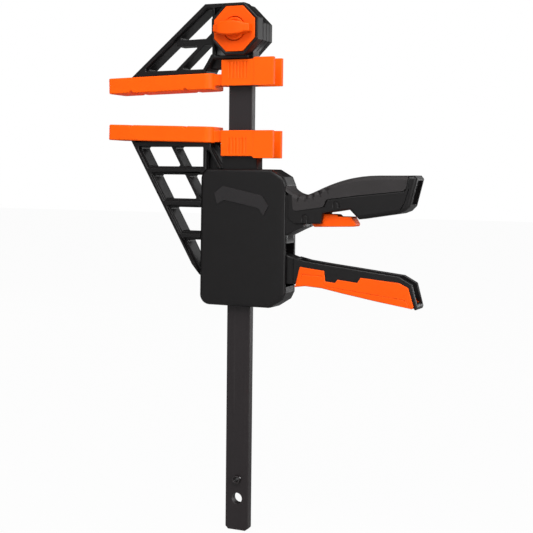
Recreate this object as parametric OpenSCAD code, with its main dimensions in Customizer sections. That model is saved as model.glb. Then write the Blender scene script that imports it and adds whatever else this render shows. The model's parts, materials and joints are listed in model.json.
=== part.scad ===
// One-handed quick release bar clamp.
//
// A flat steel bar carries a fixed jaw at its top and a sliding carriage below it. The carriage holds the
// moving jaw, a pistol handle, a pump lever that walks it up the bar and a trigger that lets it slide back.
// Millimetres. +Z runs up the bar, +X towards the handles and -Y towards the side with the lock knob.
// The origin is the middle of the hang hole near the bar's foot.

/* [Bar] */
// Width of the bar, across the jaws
bar_w = 18; // [15:0.5:20.5]
// Thickness of the bar
bar_t = 6; // [5:0.5:7]
// Bar left below the hang hole
bar_foot = 23.3; // [15:0.5:40]
// Corner chamfer at the bar's foot
foot_chamfer = 2.2; // [1:0.2:4]
// Diameter of the hang hole
hang_hole_d = 8; // [5:0.5:10]
// Height of the stop pin above the hang hole
stop_pin_up = 14; // [11:0.5:25]
// Diameter of the stop pin
stop_pin_d = 6; // [4:0.5:7]
// How far the stop pin stands out of each face
stop_pin_proud = 2.4; // [1.5:0.1:3.5]

/* [Jaws] */
// Largest opening between the pads, measured at the bar
capacity = 150; // [100:5:600]
// Opening as drawn
opening = 27; // [10:1:60]
// Reach of the pads from the bar's edge to their tips
throat = 93.5; // [86:0.5:120]
// Toe-in of each pad, taken up as the jaws load
toe = 1.4; // [0:0.1:2.5]
// Thickness of a pad
pad_t = 11.3; // [10:0.1:14]
// Width of a pad
pad_w = 24; // [22:0.5:28]
// Radius of the pad's corners at the bar end
pad_end_r = 6; // [3:0.5:8]
// Depth of the V grooves in the pad's face
groove_depth = 1.6; // [1:0.1:2.2]
// Width of the jaw mouldings over their rims
jaw_rim_w = 18; // [17:0.2:19.6]
// Width of the struts between the rims
strut_w = 12; // [8:0.5:14]

/* [Pad clips] */
// Width over the two arms of a pad's clip
clip_w = 17; // [16:0.2:18]
// Wall of a clip arm
clip_wall = 3; // [2:0.1:3.2]
// How far the arms reach past the bar's middle
clip_reach = 27.6; // [22:0.2:32]
// Height of the arms
clip_h = 18; // [14:0.2:18.2]

/* [Lock head] */
// Height of the lock's middle above the fixed jaw's face
head_up = 40.6; // [40:0.2:46]
// Width across the flats of the octagonal head
head_af = 35.8; // [35:0.2:37]
// Front and back faces of the head
head_front = 14; // [12:0.2:16]
head_back = 11; // [10.6:0.2:14]
// Width across the flats of the lock plate
plate_af = 31; // [29:0.2:31.6]
// Diameter of the lock spindle
spindle_d = 8; // [6:0.5:9]
// Length of the knob's wing
wing_l = 27.8; // [24:0.5:30.5]
// Diameter of the knob's boss
knob_boss_d = 15.6; // [14:0.2:17]

/* [Carriage] */
// Height of the carriage body
body_h = 96.8; // [92:0.4:116]
// Reach of the body to the jaw side and to the handle side
body_left = 27.5; // [26:0.5:32]
body_right = 38.3; // [38:0.1:42]
// How much further the body's lower end reaches on the jaw side
body_flare = 0.5; // [0:0.1:2]
// Width of the body over its two covers
body_w = 21; // [20:0.5:25]
// Thickness of a cover
cover_t = 3.4; // [2.8:0.1:4]
// Wall of the frame inside the covers
frame_wall = 2.6; // [2:0.1:3.4]
// Height of the moving pad's face above the body
neck_h = 29.2; // [27:0.2:36]
// Rise of the stripe on the covers
stripe_rise = 0.6; // [0.3:0.1:1.2]

/* [Handle and lever] */
// Width of the handle at its soft grip
grip_w = 21; // [20:0.5:26]
// Width of the pump lever's channel
lever_w = 16; // [15:0.2:18]
// Width of the lever's orange grip
lever_grip_w = 18; // [17.6:0.2:21]
// Wall of the lever's channel
lever_wall = 2.2; // [1.6:0.1:2.8]
// Width of the release trigger
trigger_w = 11; // [9:0.2:11.6]
// Diameter of the lever's pivot pin
lever_pin_d = 6; // [4:0.5:7]
// Diameter of the trigger's pivot pin
trigger_pin_d = 4; // [3:0.5:5]

/* [Mechanism] */
// Thickness of one drive or brake plate
plate_t = 3; // [2:0.2:3.4]
// Tilt of the brake plates on the bar
brake_tilt = 6; // [4:0.5:6.5]
// Outer diameter of the two coil springs
spring_d = 7; // [5:0.2:8]
// Wire of the two coil springs
spring_wire = 1.1; // [0.8:0.1:1.3]

/* [Fits] */
// Clearance on each side of the bar in its guides
bar_clear = 0.12; // [0.08:0.01:0.3]
// Radial running clearance of pins in their bores
pin_clear = 0.05; // [0.02:0.01:0.09]
// Clearance between mouldings that plug together
seat_clear = 0.15; // [0.1:0.05:0.3]
// Gap between pieces that move past each other
move_gap = 0.4; // [0.3:0.05:0.6]

/* [Hidden] */
$fn = 48;
black = [0.14, 0.14, 0.145];
soft_black = [0.19, 0.19, 0.20];
orange = [1.0, 0.38, 0.09];
steel = [0.62, 0.63, 0.65];
dark_steel = [0.2, 0.19, 0.19];
eps = 0.01;

// Heights along the bar
stop_gap = 0.5;
body_low_z = stop_pin_up + stop_pin_d/2 + stop_gap;
fixed_face_z = body_low_z + body_h + neck_h + capacity;
body_z = fixed_face_z - opening - neck_h - body_h;
head_z = fixed_face_z + head_up;
bar_top = head_z + 12.5;
bar_edge_r = 0.4;

// Pads and the tongues that they slip over
pad_left = -(bar_w/2 + throat);
pad_right = -(bar_w/2 + 9.4);
pad_floor = 3.6;
groove_x = [pad_left + 18.5, pad_left + 62.9];
groove_w = 4;
tongue_w = 16;
tongue_tip = 4;
tongue_narrow_w = 9.6;
tongue_h = 6.2;
arm_low = 2.1;
arm_left = -12.6;
arm_step_x = bar_w/2 + 2.8;
arm_proud = 0.3;
arm_step = 1.3;
patch = [-6.8, 8.6, 7.3, 18.4];
patch_depth = 0.6;
patch_ribs = 6;
lug_h = 1.1;

// Fixed jaw, measured from its face at the bar's middle
fj_neck_left = -11.4;
fj_neck_right = bar_w/2 + 1.5;
fj_neck_w = clip_w - 2*clip_wall - 0.6;
fj_top = head_up + 18.6;
fj_corner = [-25.4, fj_top];
fj_toe = [pad_left + 18.8, 10.4];
fj_rib_x = -18.7;
fj_strut_z = 32.8;
// Layers of the head from front to back: from, to, narrower by; the narrow ones are grooves
head_layers = [[-head_front, -5.4, 0.2], [-5.4, -4.8, 1.6], [-4.8, 0, 0], [0, 0.6, 1], [0.6, 5, 0], [5, 5.6, 1],
    [5.6, head_back, 0]];
ring_back = -5.4;
shoulder_cut = 2.2;
head_cavity_af = 30;
rear_plate_af = 2*(bar_w/2 + 5.5);
head_mid = 5;
boss_r = 7.8;
head_screw_x = bar_w/2 + 2.7;
head_screws_at = [for (x = [-head_screw_x, head_screw_x], z = [-5, 5]) [x, z]];
head_screw_boss_r = 2.9;
plate_seat = head_front - 2.6;
rear_boss_top = 6.2;
rear_plate_t = 1.6;
screw_r = 1.5;

// Carriage, measured from the body's lower edge and the bar's middle
frame_w = body_w - 2*cover_t;
corner_r = 7.2;
neck_left = -(bar_w/2 + 4);
neck_right = bar_w/2 + 5;
neck_w = clip_w - 2*clip_wall - 1;
jaw_face = body_h + neck_h;
mj_toe = [pad_left + 17.8, jaw_face - 10.2];
mj_tip = [-33.1, 25.5];
mj_foot = [[-34.6, 28.1], [-31.1, 23.9], [-27.5, 20.2]];
base_beam_z = jaw_face - 13.4;
mj_struts = [base_beam_z - 17.2, base_beam_z - 40.5, base_beam_z - 63.7];
guide_h = 8;
guide_wall = 1.8;
block_wall = 2.2;
low_guide_z = 0.8;
top_guide_z = body_h - 11.6;
cover_screws_at = [[-20.3, 5.6], [-21.4, body_h - 5.6], [30.5, body_h - 7.6], [26, 5.6]];
boss_out = 3.5;

// Lever and drive plates
lever_pivot = [27, 33];
lever_root_r = 7.5;
lever_root_w = frame_w - 1.2;
nose_at = [-12.5, 0];
nose_r = 2.8;
drive_top = lever_pivot[1] - nose_r - 0.3;
drive_right = lever_pivot[0] - lever_root_r - 1.6;
plate_w = frame_w - 1.2;
drive_spring_x = -(bar_w/2 + bar_clear + guide_wall + block_wall + spring_d/2 + 0.38);
drive_left = drive_spring_x - 4.1;
drive_shelf = 9;
lever_mouth = [15.4, 45.4];

// Trigger and brake plates
trigger_pivot = [46, 64];
brake_hinge = [-17, 66];
brake_left = -20;
brake_right = 17.6;
grip_gap = 0.15;
brake_spring_x = 13.6;
brake_shelf = 54;
fulcrum_r = 2;
fulcrum = [brake_hinge[0] + 1.4, brake_hinge[1] + 2*plate_t + fulcrum_r + 0.45];
trigger_nose = [15.8, 78.4];
trigger_nose_r = 2.4;
trigger_arm_w = 7;
channel_w = 8.4;

// ---------------------------------------------------------------- shared shapes

// Stands a drawing in X and Z up between two values of Y
module slab(from, to) {
    translate([0, to, 0]) rotate([90, 0, 0]) linear_extrude(to - from) children();
}

module centred_slab(w) {
    slab(-w/2, w/2) children();
}

// A round bar or hole along Y
module y_rod(x, z, r, from, to) {
    translate([x, to, z]) rotate([90, 0, 0]) cylinder(r = r, h = to - from);
}

// A flat strip between two points of a drawing
module strut(a, b, w) {
    run = b - a;
    translate(a) rotate(atan2(run[1], run[0])) translate([0, -w/2]) square([norm(run), w]);
}

// Fills the inner corners of a drawing with a radius
module inner_fillet(r) {
    offset(r = -r, $fn = 24) offset(delta = r) children();
}

module octagon(af) {
    rotate(22.5) circle(r = af/2/cos(22.5), $fn = 8);
}

function bezier(a, b, c, d, steps) =
    [for (i = [0:steps]) let (t = i/steps, s = 1 - t)
        s*s*s*a + 3*s*s*t*b + 3*s*t*t*c + t*t*t*d];

// Points of an arc about c, from angle a0 to a1
function arc(c, r, a0, a1, steps = 6) =
    [for (i = [0:steps]) let (a = a0 + (a1 - a0)*i/steps) c + r*[cos(a), sin(a)]];

// ---------------------------------------------------------------- bar

module bar_section(extra = 0) {
    w = bar_w/2 + extra;
    t = bar_t/2 + extra;
    square([2*w, 2*t], center = true);
}

module bar() {
    w = bar_w/2;
    outline = [[-w + foot_chamfer, -bar_foot], [w - foot_chamfer, -bar_foot], [w, -bar_foot + foot_chamfer],
        [w, bar_top], [-w, bar_top], [-w, -bar_foot + foot_chamfer]];
    color(dark_steel) difference() {
        centred_slab(bar_t) polygon(outline);
        // broken long edges
        for (sx = [-1, 1], sy = [-1, 1])
            translate([sx*w, sy*bar_t/2, -bar_foot - 1]) rotate(45)
                translate([-bar_edge_r/2, -bar_edge_r/2, 0]) cube([bar_edge_r, bar_edge_r, bar_top + bar_foot + 2]);
        y_rod(0, 0, hang_hole_d/2, -bar_t, bar_t);
        y_rod(0, stop_pin_up, stop_pin_d/2, -bar_t, bar_t);
        // keyhole that the lock spindle turns in and slips out of
        y_rod(0, head_z, spindle_d/2 + pin_clear, -bar_t, bar_t);
        translate([-key_slot/2, -bar_t, head_z]) cube([key_slot, 2*bar_t, bar_top]);
    }
}
key_slot = spindle_d*0.7;
key_flat = key_slot - 0.4;

// Spring pin rolled from strip, with its slot
module stop_pin() {
    half = bar_t/2 + stop_pin_proud;
    color(steel) difference() {
        y_rod(0, stop_pin_up, stop_pin_d/2, -half, half);
        y_rod(0, stop_pin_up, stop_pin_d/2 - 1.2, -half - 1, half + 1);
        translate([0, 0, stop_pin_up]) rotate([0, -30, 0])
            translate([0, -half - 1, -0.5]) cube([stop_pin_d, 2*half + 2, 1]);
    }
}

// ---------------------------------------------------------------- pads

// Pad with its face at z = 0 and its body above it; the clip arms straddle the jaw's neck.
// It leans about the bar's middle, so that the tips of two pads come nearest.
module pad_solid() {
    y = pad_w/2;
    tip_r = 1.6;
    plan = concat(
        arc([pad_left + tip_r, -y + tip_r], tip_r, 180, 270, 3),
        arc([pad_right - pad_end_r, -y + pad_end_r], pad_end_r, 270, 360),
        arc([pad_right - pad_end_r, y - pad_end_r], pad_end_r, 0, 90),
        arc([pad_left + tip_r, y - tip_r], tip_r, 90, 180, 3));
    difference() {
        rotate([0, -toe, 0]) difference() {
            linear_extrude(pad_t) polygon(plan);
            for (x = groove_x)
                centred_slab(2*pad_w) polygon([[x - groove_w/2, -eps], [x, groove_depth], [x + groove_w/2, -eps]]);
        }
        pad_socket();
    }
    for (side = [-1, 1]) pad_arm(side);
}

// Room for the jaw's tongue, open at the top and at the bar end
module pad_socket() {
    c = seat_clear;
    rotate([0, -toe, 0]) {
        translate([pad_left + tongue_tip - c, -tongue_w/2 - c, pad_floor - c])
            cube([-pad_left - tongue_tip + pad_right - 3 + 2*c, tongue_w + 2*c, pad_t]);
        translate([pad_right - 8, -tongue_narrow_w/2 - c, pad_floor - c])
            cube([12, tongue_narrow_w + 2*c, pad_t]);
    }
}

module pad_arm(side) {
    inner = clip_w/2 - clip_wall;
    outline = [[arm_left, arm_low], [clip_reach, arm_low], [clip_reach, arm_low + clip_h + arm_step],
        [arm_step_x + 1, arm_low + clip_h + arm_step], [arm_step_x - 0.4, arm_low + clip_h],
        [arm_left, arm_low + clip_h]];
    y0 = side < 0 ? -clip_w/2 : inner;
    difference() {
        union() {
            slab(y0, y0 + clip_wall) polygon(outline);
            // the arm's root stands proud beyond the bar
            slab(y0 - (side < 0 ? arm_proud : 0), y0 + clip_wall + (side > 0 ? arm_proud : 0))
                polygon([[arm_step_x + 1, arm_low], outline[1], outline[2], outline[3]]);
        }
        // thumb patch: a shallow recess that leaves upright ribs
        pitch = (patch[1] - patch[0])/patch_ribs;
        for (i = [0:patch_ribs - 1])
            translate([patch[0] + i*pitch, side*(clip_w/2 - patch_depth/2) - patch_depth/2 - (side < 0 ? eps : -eps),
                patch[2]])
                cube([pitch*0.5, patch_depth, patch[3] - patch[2]]);
    }
    // bridge from the pad to the arm, set back from its face
    slab(side < 0 ? -inner - 1.1 : inner - 0.4, side < 0 ? -inner + 0.4 : inner + 1.1)
        polygon([[pad_right - 2, arm_low + 0.4], [arm_left + 1, arm_low], [arm_left + 1, pad_t - 1],
            [pad_right - 2, pad_t - 1]]);
}

// Lug that snaps behind the neck, inside each arm
module pad_lugs(neck_edge) {
    inner = clip_w/2 - clip_wall;
    x = neck_edge + 0.3;
    for (side = [-1, 1])
        slab(side < 0 ? -inner - eps : inner - lug_h, side < 0 ? -inner + lug_h : inner + eps)
            polygon([[x, arm_low + 3], [x + 2.4, arm_low + 3], [x + 2.4, arm_low + clip_h - 3],
                [x, arm_low + clip_h - 3]]);
}

module fixed_jaw_pad() {
    color(orange) translate([0, 0, fixed_face_z]) {
        pad_solid();
        pad_lugs(fj_neck_right);
    }
}

module moving_jaw_pad() {
    color(orange) translate([0, 0, body_z + jaw_face]) mirror([0, 0, 1]) {
        pad_solid();
        pad_lugs(neck_right);
    }
}

// ---------------------------------------------------------------- jaw mouldings

// Tongue of a jaw, above a face at z = 0
module tongue(right) {
    rotate([0, -toe, 0]) {
        translate([pad_left + tongue_tip, -tongue_w/2, pad_floor])
            cube([-pad_left - tongue_tip + pad_right - 3, tongue_w, tongue_h]);
        translate([pad_right - 8, -tongue_narrow_w/2, pad_floor])
            cube([right - pad_right + 8, tongue_narrow_w, tongue_h]);
    }
}

// Side view of the fixed jaw's members; the struts between them are left out of the rims
module fixed_jaw_drawing(outer, rib, level, struts) {
    base_l = [fj_toe[0], fj_toe[1] + 0.6];
    inner_fillet(1.2) {
        // sloping back, top edge and the rib beside the head
        intersection() {
            union() {
                strut([fj_corner[0] + 1, fj_top - outer/2], [0, fj_top - outer/2], outer);
                sloped_back(outer);
            }
            polygon([[fj_toe[0] - 4, 8], [fj_corner[0], fj_top], [8, fj_top], [8, 8]]);
        }
        strut([fj_rib_x, 21.2], [fj_rib_x, fj_top - 0.2], rib);
        strut([fj_rib_x - rib/2, 22], [8.4, 22], level);
        strut([fj_rib_x - 0.8, 22.6], [-27.7, 9], 2.8);
        strut([base_l[0] + 4, 11.2], [-24, 11.8], 4.4);
        if (struts) {
            strut([-49, fj_strut_z], [-19, fj_strut_z + 0.6], 4.4);
            strut([-20.5, 38.5], [-54.1, 8.6], 2.6);
        }
    }
}

// Sloping member: its outer edge runs from the corner to the toe
module sloped_back(w) {
    run = fj_corner - fj_toe;
    side = [run[1], -run[0]]/norm(run);
    strut(fj_toe + side*w/2 - run*0.05, fj_corner + side*w/2 + run*0.02, w);
}

// Room of a pad on both sides of the tongue, where a jaw's rims end on the pad
module beside_tongue() {
    rotate([0, -toe, 0]) for (side = [0, 1]) mirror([0, side, 0]) {
        translate([pad_left - 10, tongue_w/2, -5]) cube([pad_right - pad_left + 10, pad_w, pad_t + 5]);
        translate([pad_right - 3.2, tongue_narrow_w/2, -5])
            cube([arm_left - pad_right + 4.4, pad_w, pad_t + 5.3]);
    }
}

module fixed_jaw_outer() {
    difference() {
        union() {
            centred_slab(jaw_rim_w) fixed_jaw_drawing(3, 2, 2.2, false);
            centred_slab(strut_w) fixed_jaw_drawing(3.8, 2.8, 2.8, true);
        }
        beside_tongue();
    }
    // webs between the foot and the neck, and between the rib and the head
    centred_slab(8) {
        polygon([[-24.6, 14.2], [-19.4, 22], [-9, 22], [-9, 14.2]]);
        polygon([[fj_rib_x, head_up], [fj_rib_x, fj_top - 1], [-4, fj_top - 1], [-10, head_up]]);
    }
    tongue(-9);
    // neck round the bar
    centred_slab(fj_neck_w) polygon([[fj_neck_left, 2.6], [fj_neck_right, 2.6], [fj_neck_right, 28], [-11.4, 28]]);
}

module fixed_jaw() {
    color(black) translate([0, 0, fixed_face_z]) difference() {
        union() {
            fixed_jaw_outer();
            for (l = head_layers) slab(l[0], l[1] + eps) translate([0, head_up]) difference() {
                octagon(head_af - l[2]);
                // behind the ring the two upper corners are cut lower
                if (l[0] >= ring_back) for (a = [45, 135])
                    rotate(a) translate([(head_af - l[2])/2 - shoulder_cut, -head_af/2]) square([head_af, head_af]);
            }
        }
        // hollow front and back of the head, leaving the middle block and its bosses
        difference() {
            union() {
                slab(-head_front - 1, -head_mid) translate([0, head_up]) octagon(head_cavity_af);
                slab(head_mid, head_back + 1) translate([0, head_up]) octagon(rear_plate_af - 1);
            }
            y_rod(0, head_up, boss_r, -plate_seat + 0.1, rear_boss_top);
            for (p = head_screws_at)
                y_rod(p[0], head_up + p[1], head_screw_boss_r, -plate_seat, head_back - rear_plate_t);
        }
        // seats of the two plates
        slab(-head_front - 1, -plate_seat) translate([0, head_up]) octagon(plate_af + 2*seat_clear);
        slab(head_back - rear_plate_t, head_back + 1) translate([0, head_up]) octagon(rear_plate_af + 2*seat_clear);
        // drain slot in the shoulder behind the ring
        translate([0, 0, head_up]) rotate([0, -45, 0]) translate([head_af/2 - shoulder_cut - 1, ring_back + 1.4, -6.4])
            cube([4, 2.4, 6]);
        // bar slot, closed above the bar
        translate([0, 0, -1]) linear_extrude(bar_top - fixed_face_z + 1.4) bar_section(bar_clear);
        y_rod(0, head_up, spindle_d/2 + pin_clear, -head_front, head_back);
        for (p = head_screws_at)
            y_rod(p[0], head_up + p[1], screw_r + 0.15, -head_front, head_back);
    }
}

// ---------------------------------------------------------------- lock in the head

module lock_plate() {
    color(orange) translate([0, 0, head_z]) difference() {
        slab(-head_front - 0.3, -plate_seat) octagon(plate_af);
        y_rod(0, 0, knob_boss_d/2 + 0.7, -head_front - 1, 0);
        for (p = head_screws_at) y_rod(p[0], p[1], screw_r, -plate_seat - 2.1, -plate_seat + 1);
    }
}

module rear_lock_plate() {
    color(black) translate([0, 0, head_z]) difference() {
        slab(head_back - rear_plate_t, head_back) octagon(rear_plate_af);
        for (p = head_screws_at) y_rod(p[0], p[1], screw_r + 0.15, 0, head_back + 1);
    }
}

// Four screws from the back, through the head into the lock plate
module head_screws() {
    color(steel) translate([0, 0, head_z]) for (p = head_screws_at) difference() {
        union() {
            y_rod(p[0], p[1], screw_r, -plate_seat - 2, head_back + 0.1);
            y_rod(p[0], p[1], 2.7, head_back + 0.02, head_back + 1.9);
        }
        translate([p[0], head_back + 1.9, p[1]]) cross_recess(1.7, 1.2);
    }
}

// Cross-shaped driver recess, cut along -Y
module cross_recess(reach, depth) {
    for (a = [0, 90]) rotate([0, a, 0]) translate([-reach, -depth, -0.35]) cube([2*reach, depth + 1, 0.7]);
}

wing_base = head_front + 1.2;
wing_top = head_front + 8.2;

module lock_knob() {
    l = wing_l/2;
    front_view = [[-l, -3], [-8.5, -3.7], [7, -3.6], [l, -2.6], [l, 2.9], [7, 3.6], [-8.5, 3.7], [-l, 3]];
    top_view = [[-l + 0.8, -wing_base], [-l, -wing_top + 2.4], [-9.5, -wing_top], [7.5, -wing_top],
        [l, -wing_top + 2.4], [l - 0.8, -wing_base]];
    color(orange) translate([0, 0, head_z]) difference() {
        union() {
            y_rod(0, 0, knob_boss_d/2, -wing_base - 0.4, -plate_seat - 0.1);
            intersection() {
                slab(-wing_top - 1, -wing_base + 0.6) polygon(front_view);
                translate([0, 0, -6]) linear_extrude(12) polygon(top_view);
            }
        }
        y_rod(0, 0, spindle_d/2, -spindle_front, 0);
        translate([0, -cross_pin_y, -3.75]) cylinder(r = cross_pin_r, h = 6.75);
    }
}
spindle_front = head_front + 5;
cross_pin_y = head_front + 2.6;
cross_pin_r = 1.25;
clip_groove_y = rear_boss_top + 1.3;
clip_t = 0.8;

// Steel spindle; across the bar it is cut to two flats, so that it slips out of the keyhole when turned
module lock_spindle() {
    back = head_back - rear_plate_t - 0.5;
    color(steel) translate([0, 0, head_z]) difference() {
        y_rod(0, 0, spindle_d/2, -spindle_front, back);
        for (s = [-1, 1])
            translate([-spindle_d, -bar_t/2 - 0.35, s > 0 ? key_flat/2 : -key_flat/2 - spindle_d])
                cube([2*spindle_d, bar_t + 0.7, spindle_d]);
        difference() {
            y_rod(0, 0, spindle_d, clip_groove_y, clip_groove_y + clip_t + 0.1);
            y_rod(0, 0, spindle_d/2 - 1, clip_groove_y - 1, clip_groove_y + clip_t + 1);
        }
        translate([0, -cross_pin_y, -spindle_d]) cylinder(r = cross_pin_r, h = 2*spindle_d);
    }
}

module knob_cross_pin() {
    color(steel) translate([0, -cross_pin_y, head_z - 3.4]) cylinder(r = cross_pin_r, h = 6.3);
}

module lock_washer() {
    color(steel) translate([0, 0, head_z]) difference() {
        y_rod(0, 0, 6.6, rear_boss_top + 0.1, rear_boss_top + 1.1);
        y_rod(0, 0, spindle_d/2 + pin_clear, 0, rear_boss_top + 2);
    }
}

// Open retaining clip in the spindle's groove
module lock_clip() {
    color(steel) translate([0, 0, head_z]) difference() {
        y_rod(0, 0, 6, clip_groove_y + 0.05, clip_groove_y + 0.05 + clip_t);
        y_rod(0, 0, spindle_d/2 - 1 + pin_clear, 0, clip_groove_y + 3);
        translate([-(spindle_d/2 - 1.3), 0, -10]) cube([spindle_d - 2.6, clip_groove_y + 3, 10]);
    }
}

// ---------------------------------------------------------------- carriage frame

// Outward normal of an edge, and a closed outline moved outwards by a distance
function outward(a, b) = let (d = (b - a)/norm(b - a)) [d[1], -d[0]];
function grown(p, by) = [for (i = [0:len(p) - 1])
    let (n = outward(p[(i + len(p) - 1)%len(p)], p[i]), m = outward(p[i], p[(i + 1)%len(p)]))
        p[i] + by*(n + m)/(1 + n*m)];

// Outline of the body: one round corner, the other three cut in facets
body_corners = let (l = -body_left, r = body_right, t = body_h)
    concat(arc([l - body_flare + corner_r, corner_r], corner_r, 180, 270),
        [[r - 11.8, 0], [r - 2.6, 5.8], [r, 11], [r, t - 10.6], [r - 2.4, t - 5.1], [r - 11.5, t]],
        [[l + 5.6, t], [l + 2.1, t - 2], [l + 0.7, t - 3.5], [l, t - 6.2]]);

function body_outline(grow = 0) = grown(body_corners, grow);

// Side view of the moving jaw's members; the leaning strut is left out of the rims
module moving_jaw_drawing(outer, level, post, struts) {
    inner_fillet(1.2) {
        intersection() {
            mj_sloped(outer);
            polygon(concat([[mj_toe[0] - 4, base_beam_z + 6]], mj_foot, [[-26, 20.2], [-26, base_beam_z + 6]]));
        }
        for (z = mj_struts) strut([mj_edge_x(z) + 2, z], [-body_left + 2, z], level);
        strut([mj_toe[0] + 3, base_beam_z + 1.9], [-20.4, base_beam_z + 1.9], 3.8);
        if (struts) strut([-52.6, base_beam_z + 1], [-25.6, 66], 2.6);
        strut([-25, base_beam_z + 2], [-25, body_h - 4], post);
        strut([-23.2, base_beam_z + 1.4], [-12.8, body_h], post - 0.8);
    }
}

// X of the jaw's sloping outer edge at a height
function mj_edge_x(z) = mj_tip[0] + (mj_toe[0] - mj_tip[0])*(z - mj_tip[1])/(mj_toe[1] - mj_tip[1]);

module mj_sloped(w) {
    run = mj_toe - mj_tip;
    side = [run[1], -run[0]]/norm(run);
    strut(mj_tip + side*w/2 - run*0.08, mj_toe + side*w/2 + run*0.04, w);
}

module moving_jaw() {
    difference() {
        union() {
            centred_slab(jaw_rim_w) moving_jaw_drawing(2.5, 3.4, 2.6, false);
            centred_slab(strut_w) moving_jaw_drawing(3.6, 6, 3, true);
        }
        translate([0, 0, jaw_face]) mirror([0, 0, 1]) beside_tongue();
        // the covers lie against the rims
        for (side = [-1, 1]) slab(side > 0 ? frame_w/2 : -body_w, side > 0 ? body_w : -frame_w/2)
            polygon(body_outline(0.1));
    }
    // web between the slanted foot and the neck
    centred_slab(6) polygon([[-26, base_beam_z + 3], [-26, body_h - 3], [neck_left + 1, body_h - 3],
        [neck_left + 1, base_beam_z - 1.8], [-15.2, base_beam_z - 1.8], [-18.6, base_beam_z + 3]]);
    translate([0, 0, jaw_face]) mirror([0, 0, 1]) tongue(neck_left + 2);
    centred_slab(neck_w) polygon([[neck_left, body_h - 3], [neck_right, body_h - 3], [neck_right, jaw_face - 2.6],
        [neck_left, jaw_face - 2.6]]);
}

// Handle outline in the carriage's drawing plane
handle_top = concat(
    bezier([38.3, 85.6], [41, 81.2], [46, 79.4], [51.5, 79.4], 8),
    bezier([51.5, 79.4], [59, 79.6], [74, 93], [105, 93.4], 14));
handle_end_top = [129.8, 93.7];
handle_end = [[131.6, 91.4], [127.1, 73.2], [123.9, 69.9], [119.4, 68.2]];
handle_belly = [91.6, 63.7];
notch = [[84.9, 70.5], [72.4, 68.4], [65.8, 67.4], [64.3, 60]];
// Lower edge of the handle's thick part, and of the thin web between it and the body
handle_root = [[57.5, 59.8], [45.3, 59.7], [40.4, 63.3], [40.1, 84]];
web_root = [[59, 60.6], [55, 59], [46.8, 55.2], [33, 48.2]];
web_w = 9.4;
neck_of_handle_w = 13;
// Lower edge of the soft grip, from the end back to the body
grip_line = [[125.6, 91.5], [124.5, 85.2], [122.4, 83.3], [89.7, 79.8], [69, 76.9], [68, 76], [66.4, 72.1],
    [65.4, 71.5], [46.4, 68.5], [44.4, 69.3], [43.6, 71.4]];
end_line = [[126.2, 93.64], [126.3, 84.4], [123.4, 75], [119.4, 68.2]];

module handle_core_drawing() {
    polygon(concat(handle_top, end_line, [handle_belly], notch, handle_root));
}

// Thinner root that carries the handle on the body's frame
module handle_web_drawing() {
    polygon(concat([[33, 88]], handle_top, [end_line[0], [66, 70]], web_root));
}

module grip_drawing() {
    polygon(concat(handle_top, [[125.7, 93.6]], grip_line, [[43.2, 79.3], [40.2, 80.6], [38.3, 82]]));
}

module handle_core() {
    difference() {
        union() {
            centred_slab(handle_w) difference() {
                handle_core_drawing();
                grip_region();
            }
            centred_slab(neck_of_handle_w) difference() {
                intersection() {
                    handle_web_drawing();
                    under_grip();
                }
                translate([body_right, 0]) square([22, 60.5]);
            }
            centred_slab(web_w) intersection() {
                handle_web_drawing();
                under_grip();
            }
        }
        // channel for the trigger and its arm
        centred_slab(channel_w) polygon([[30, 59.95], [30, 82], [36.5, 80], [44, 75], [60, 73.4], [60, 56],
            [57, 56], [53, 59.95]]);
        centred_slab(trigger_w + 2*move_gap) polygon([[51.5, 56], [51.5, 68.6], [60, 71.4], [64.5, 72], [90, 74.6],
            [93, 70], [91, 62], [66, 50]]);
        // shallow marks left by the mould
        for (side = [-1, 1]) slab(side*handle_w/2 - 0.5, side*handle_w/2 + 0.5) for (m = mould_marks) difference() {
            translate(m) union() {
                circle(r = 2.3);
                translate([-2.3, -5]) square([4.6, 5]);
            }
            translate(m) union() {
                circle(r = 1.4);
                translate([-1.4, -6]) square([2.8, 6]);
            }
            polygon([[40, 50], [50, 60.9], [57.5, 61], [64.3, 60.6], [66, 70.4], [72.4, 70.9], [90, 73], [90, 50]]);
        }
    }
}
handle_w = 20.4;
mould_marks = [[53, 64], [75.6, 73.2]];

// Everything that the soft grip is moulded over
module under_grip() {
    offset(delta = -2.6) polygon(concat([[30, 91]], handle_top, [[126, 93.6], [126, 40], [30, 40]]));
}

// Everything above the soft grip's lower edge
module grip_region() {
    polygon(concat([[25, 100], [135, 100], [135, 92], [125.6, 91.5]], grip_line, [[43.2, 79.3], [25, 85]]));
}

module moving_jaw_frame() {
    color(black) translate([0, 0, body_z]) difference() {
        union() {
            moving_jaw();
            centred_slab(frame_w) frame_drawing();
            handle_core();
        }
        // bar and its guides
        translate([0, 0, -1]) linear_extrude(jaw_face + 5) bar_section(0.3);
        for (z = [low_guide_z, top_guide_z]) guide_pocket(z);
        for (p = cover_screws_at) y_rod(p[0], p[1], screw_r + 0.15, -body_w, body_w);
        y_rod(lever_pivot[0], lever_pivot[1], lever_pin_d/2, -body_w, body_w);
        y_rod(trigger_pivot[0], trigger_pivot[1], trigger_pin_d/2, -body_w/2 + 2, body_w/2 - 2);
        y_rod(fulcrum[0], fulcrum[1], fulcrum_r, -body_w, body_w);
    }
}

module guide_pocket(z) {
    w = bar_w + 2*bar_clear + 2*guide_wall + 0.1;
    t = bar_t + 2*bar_clear + 2*guide_wall + 0.1;
    translate([-w/2, -t/2, z]) cube([w, t, guide_h + 0.1]);
}

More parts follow.
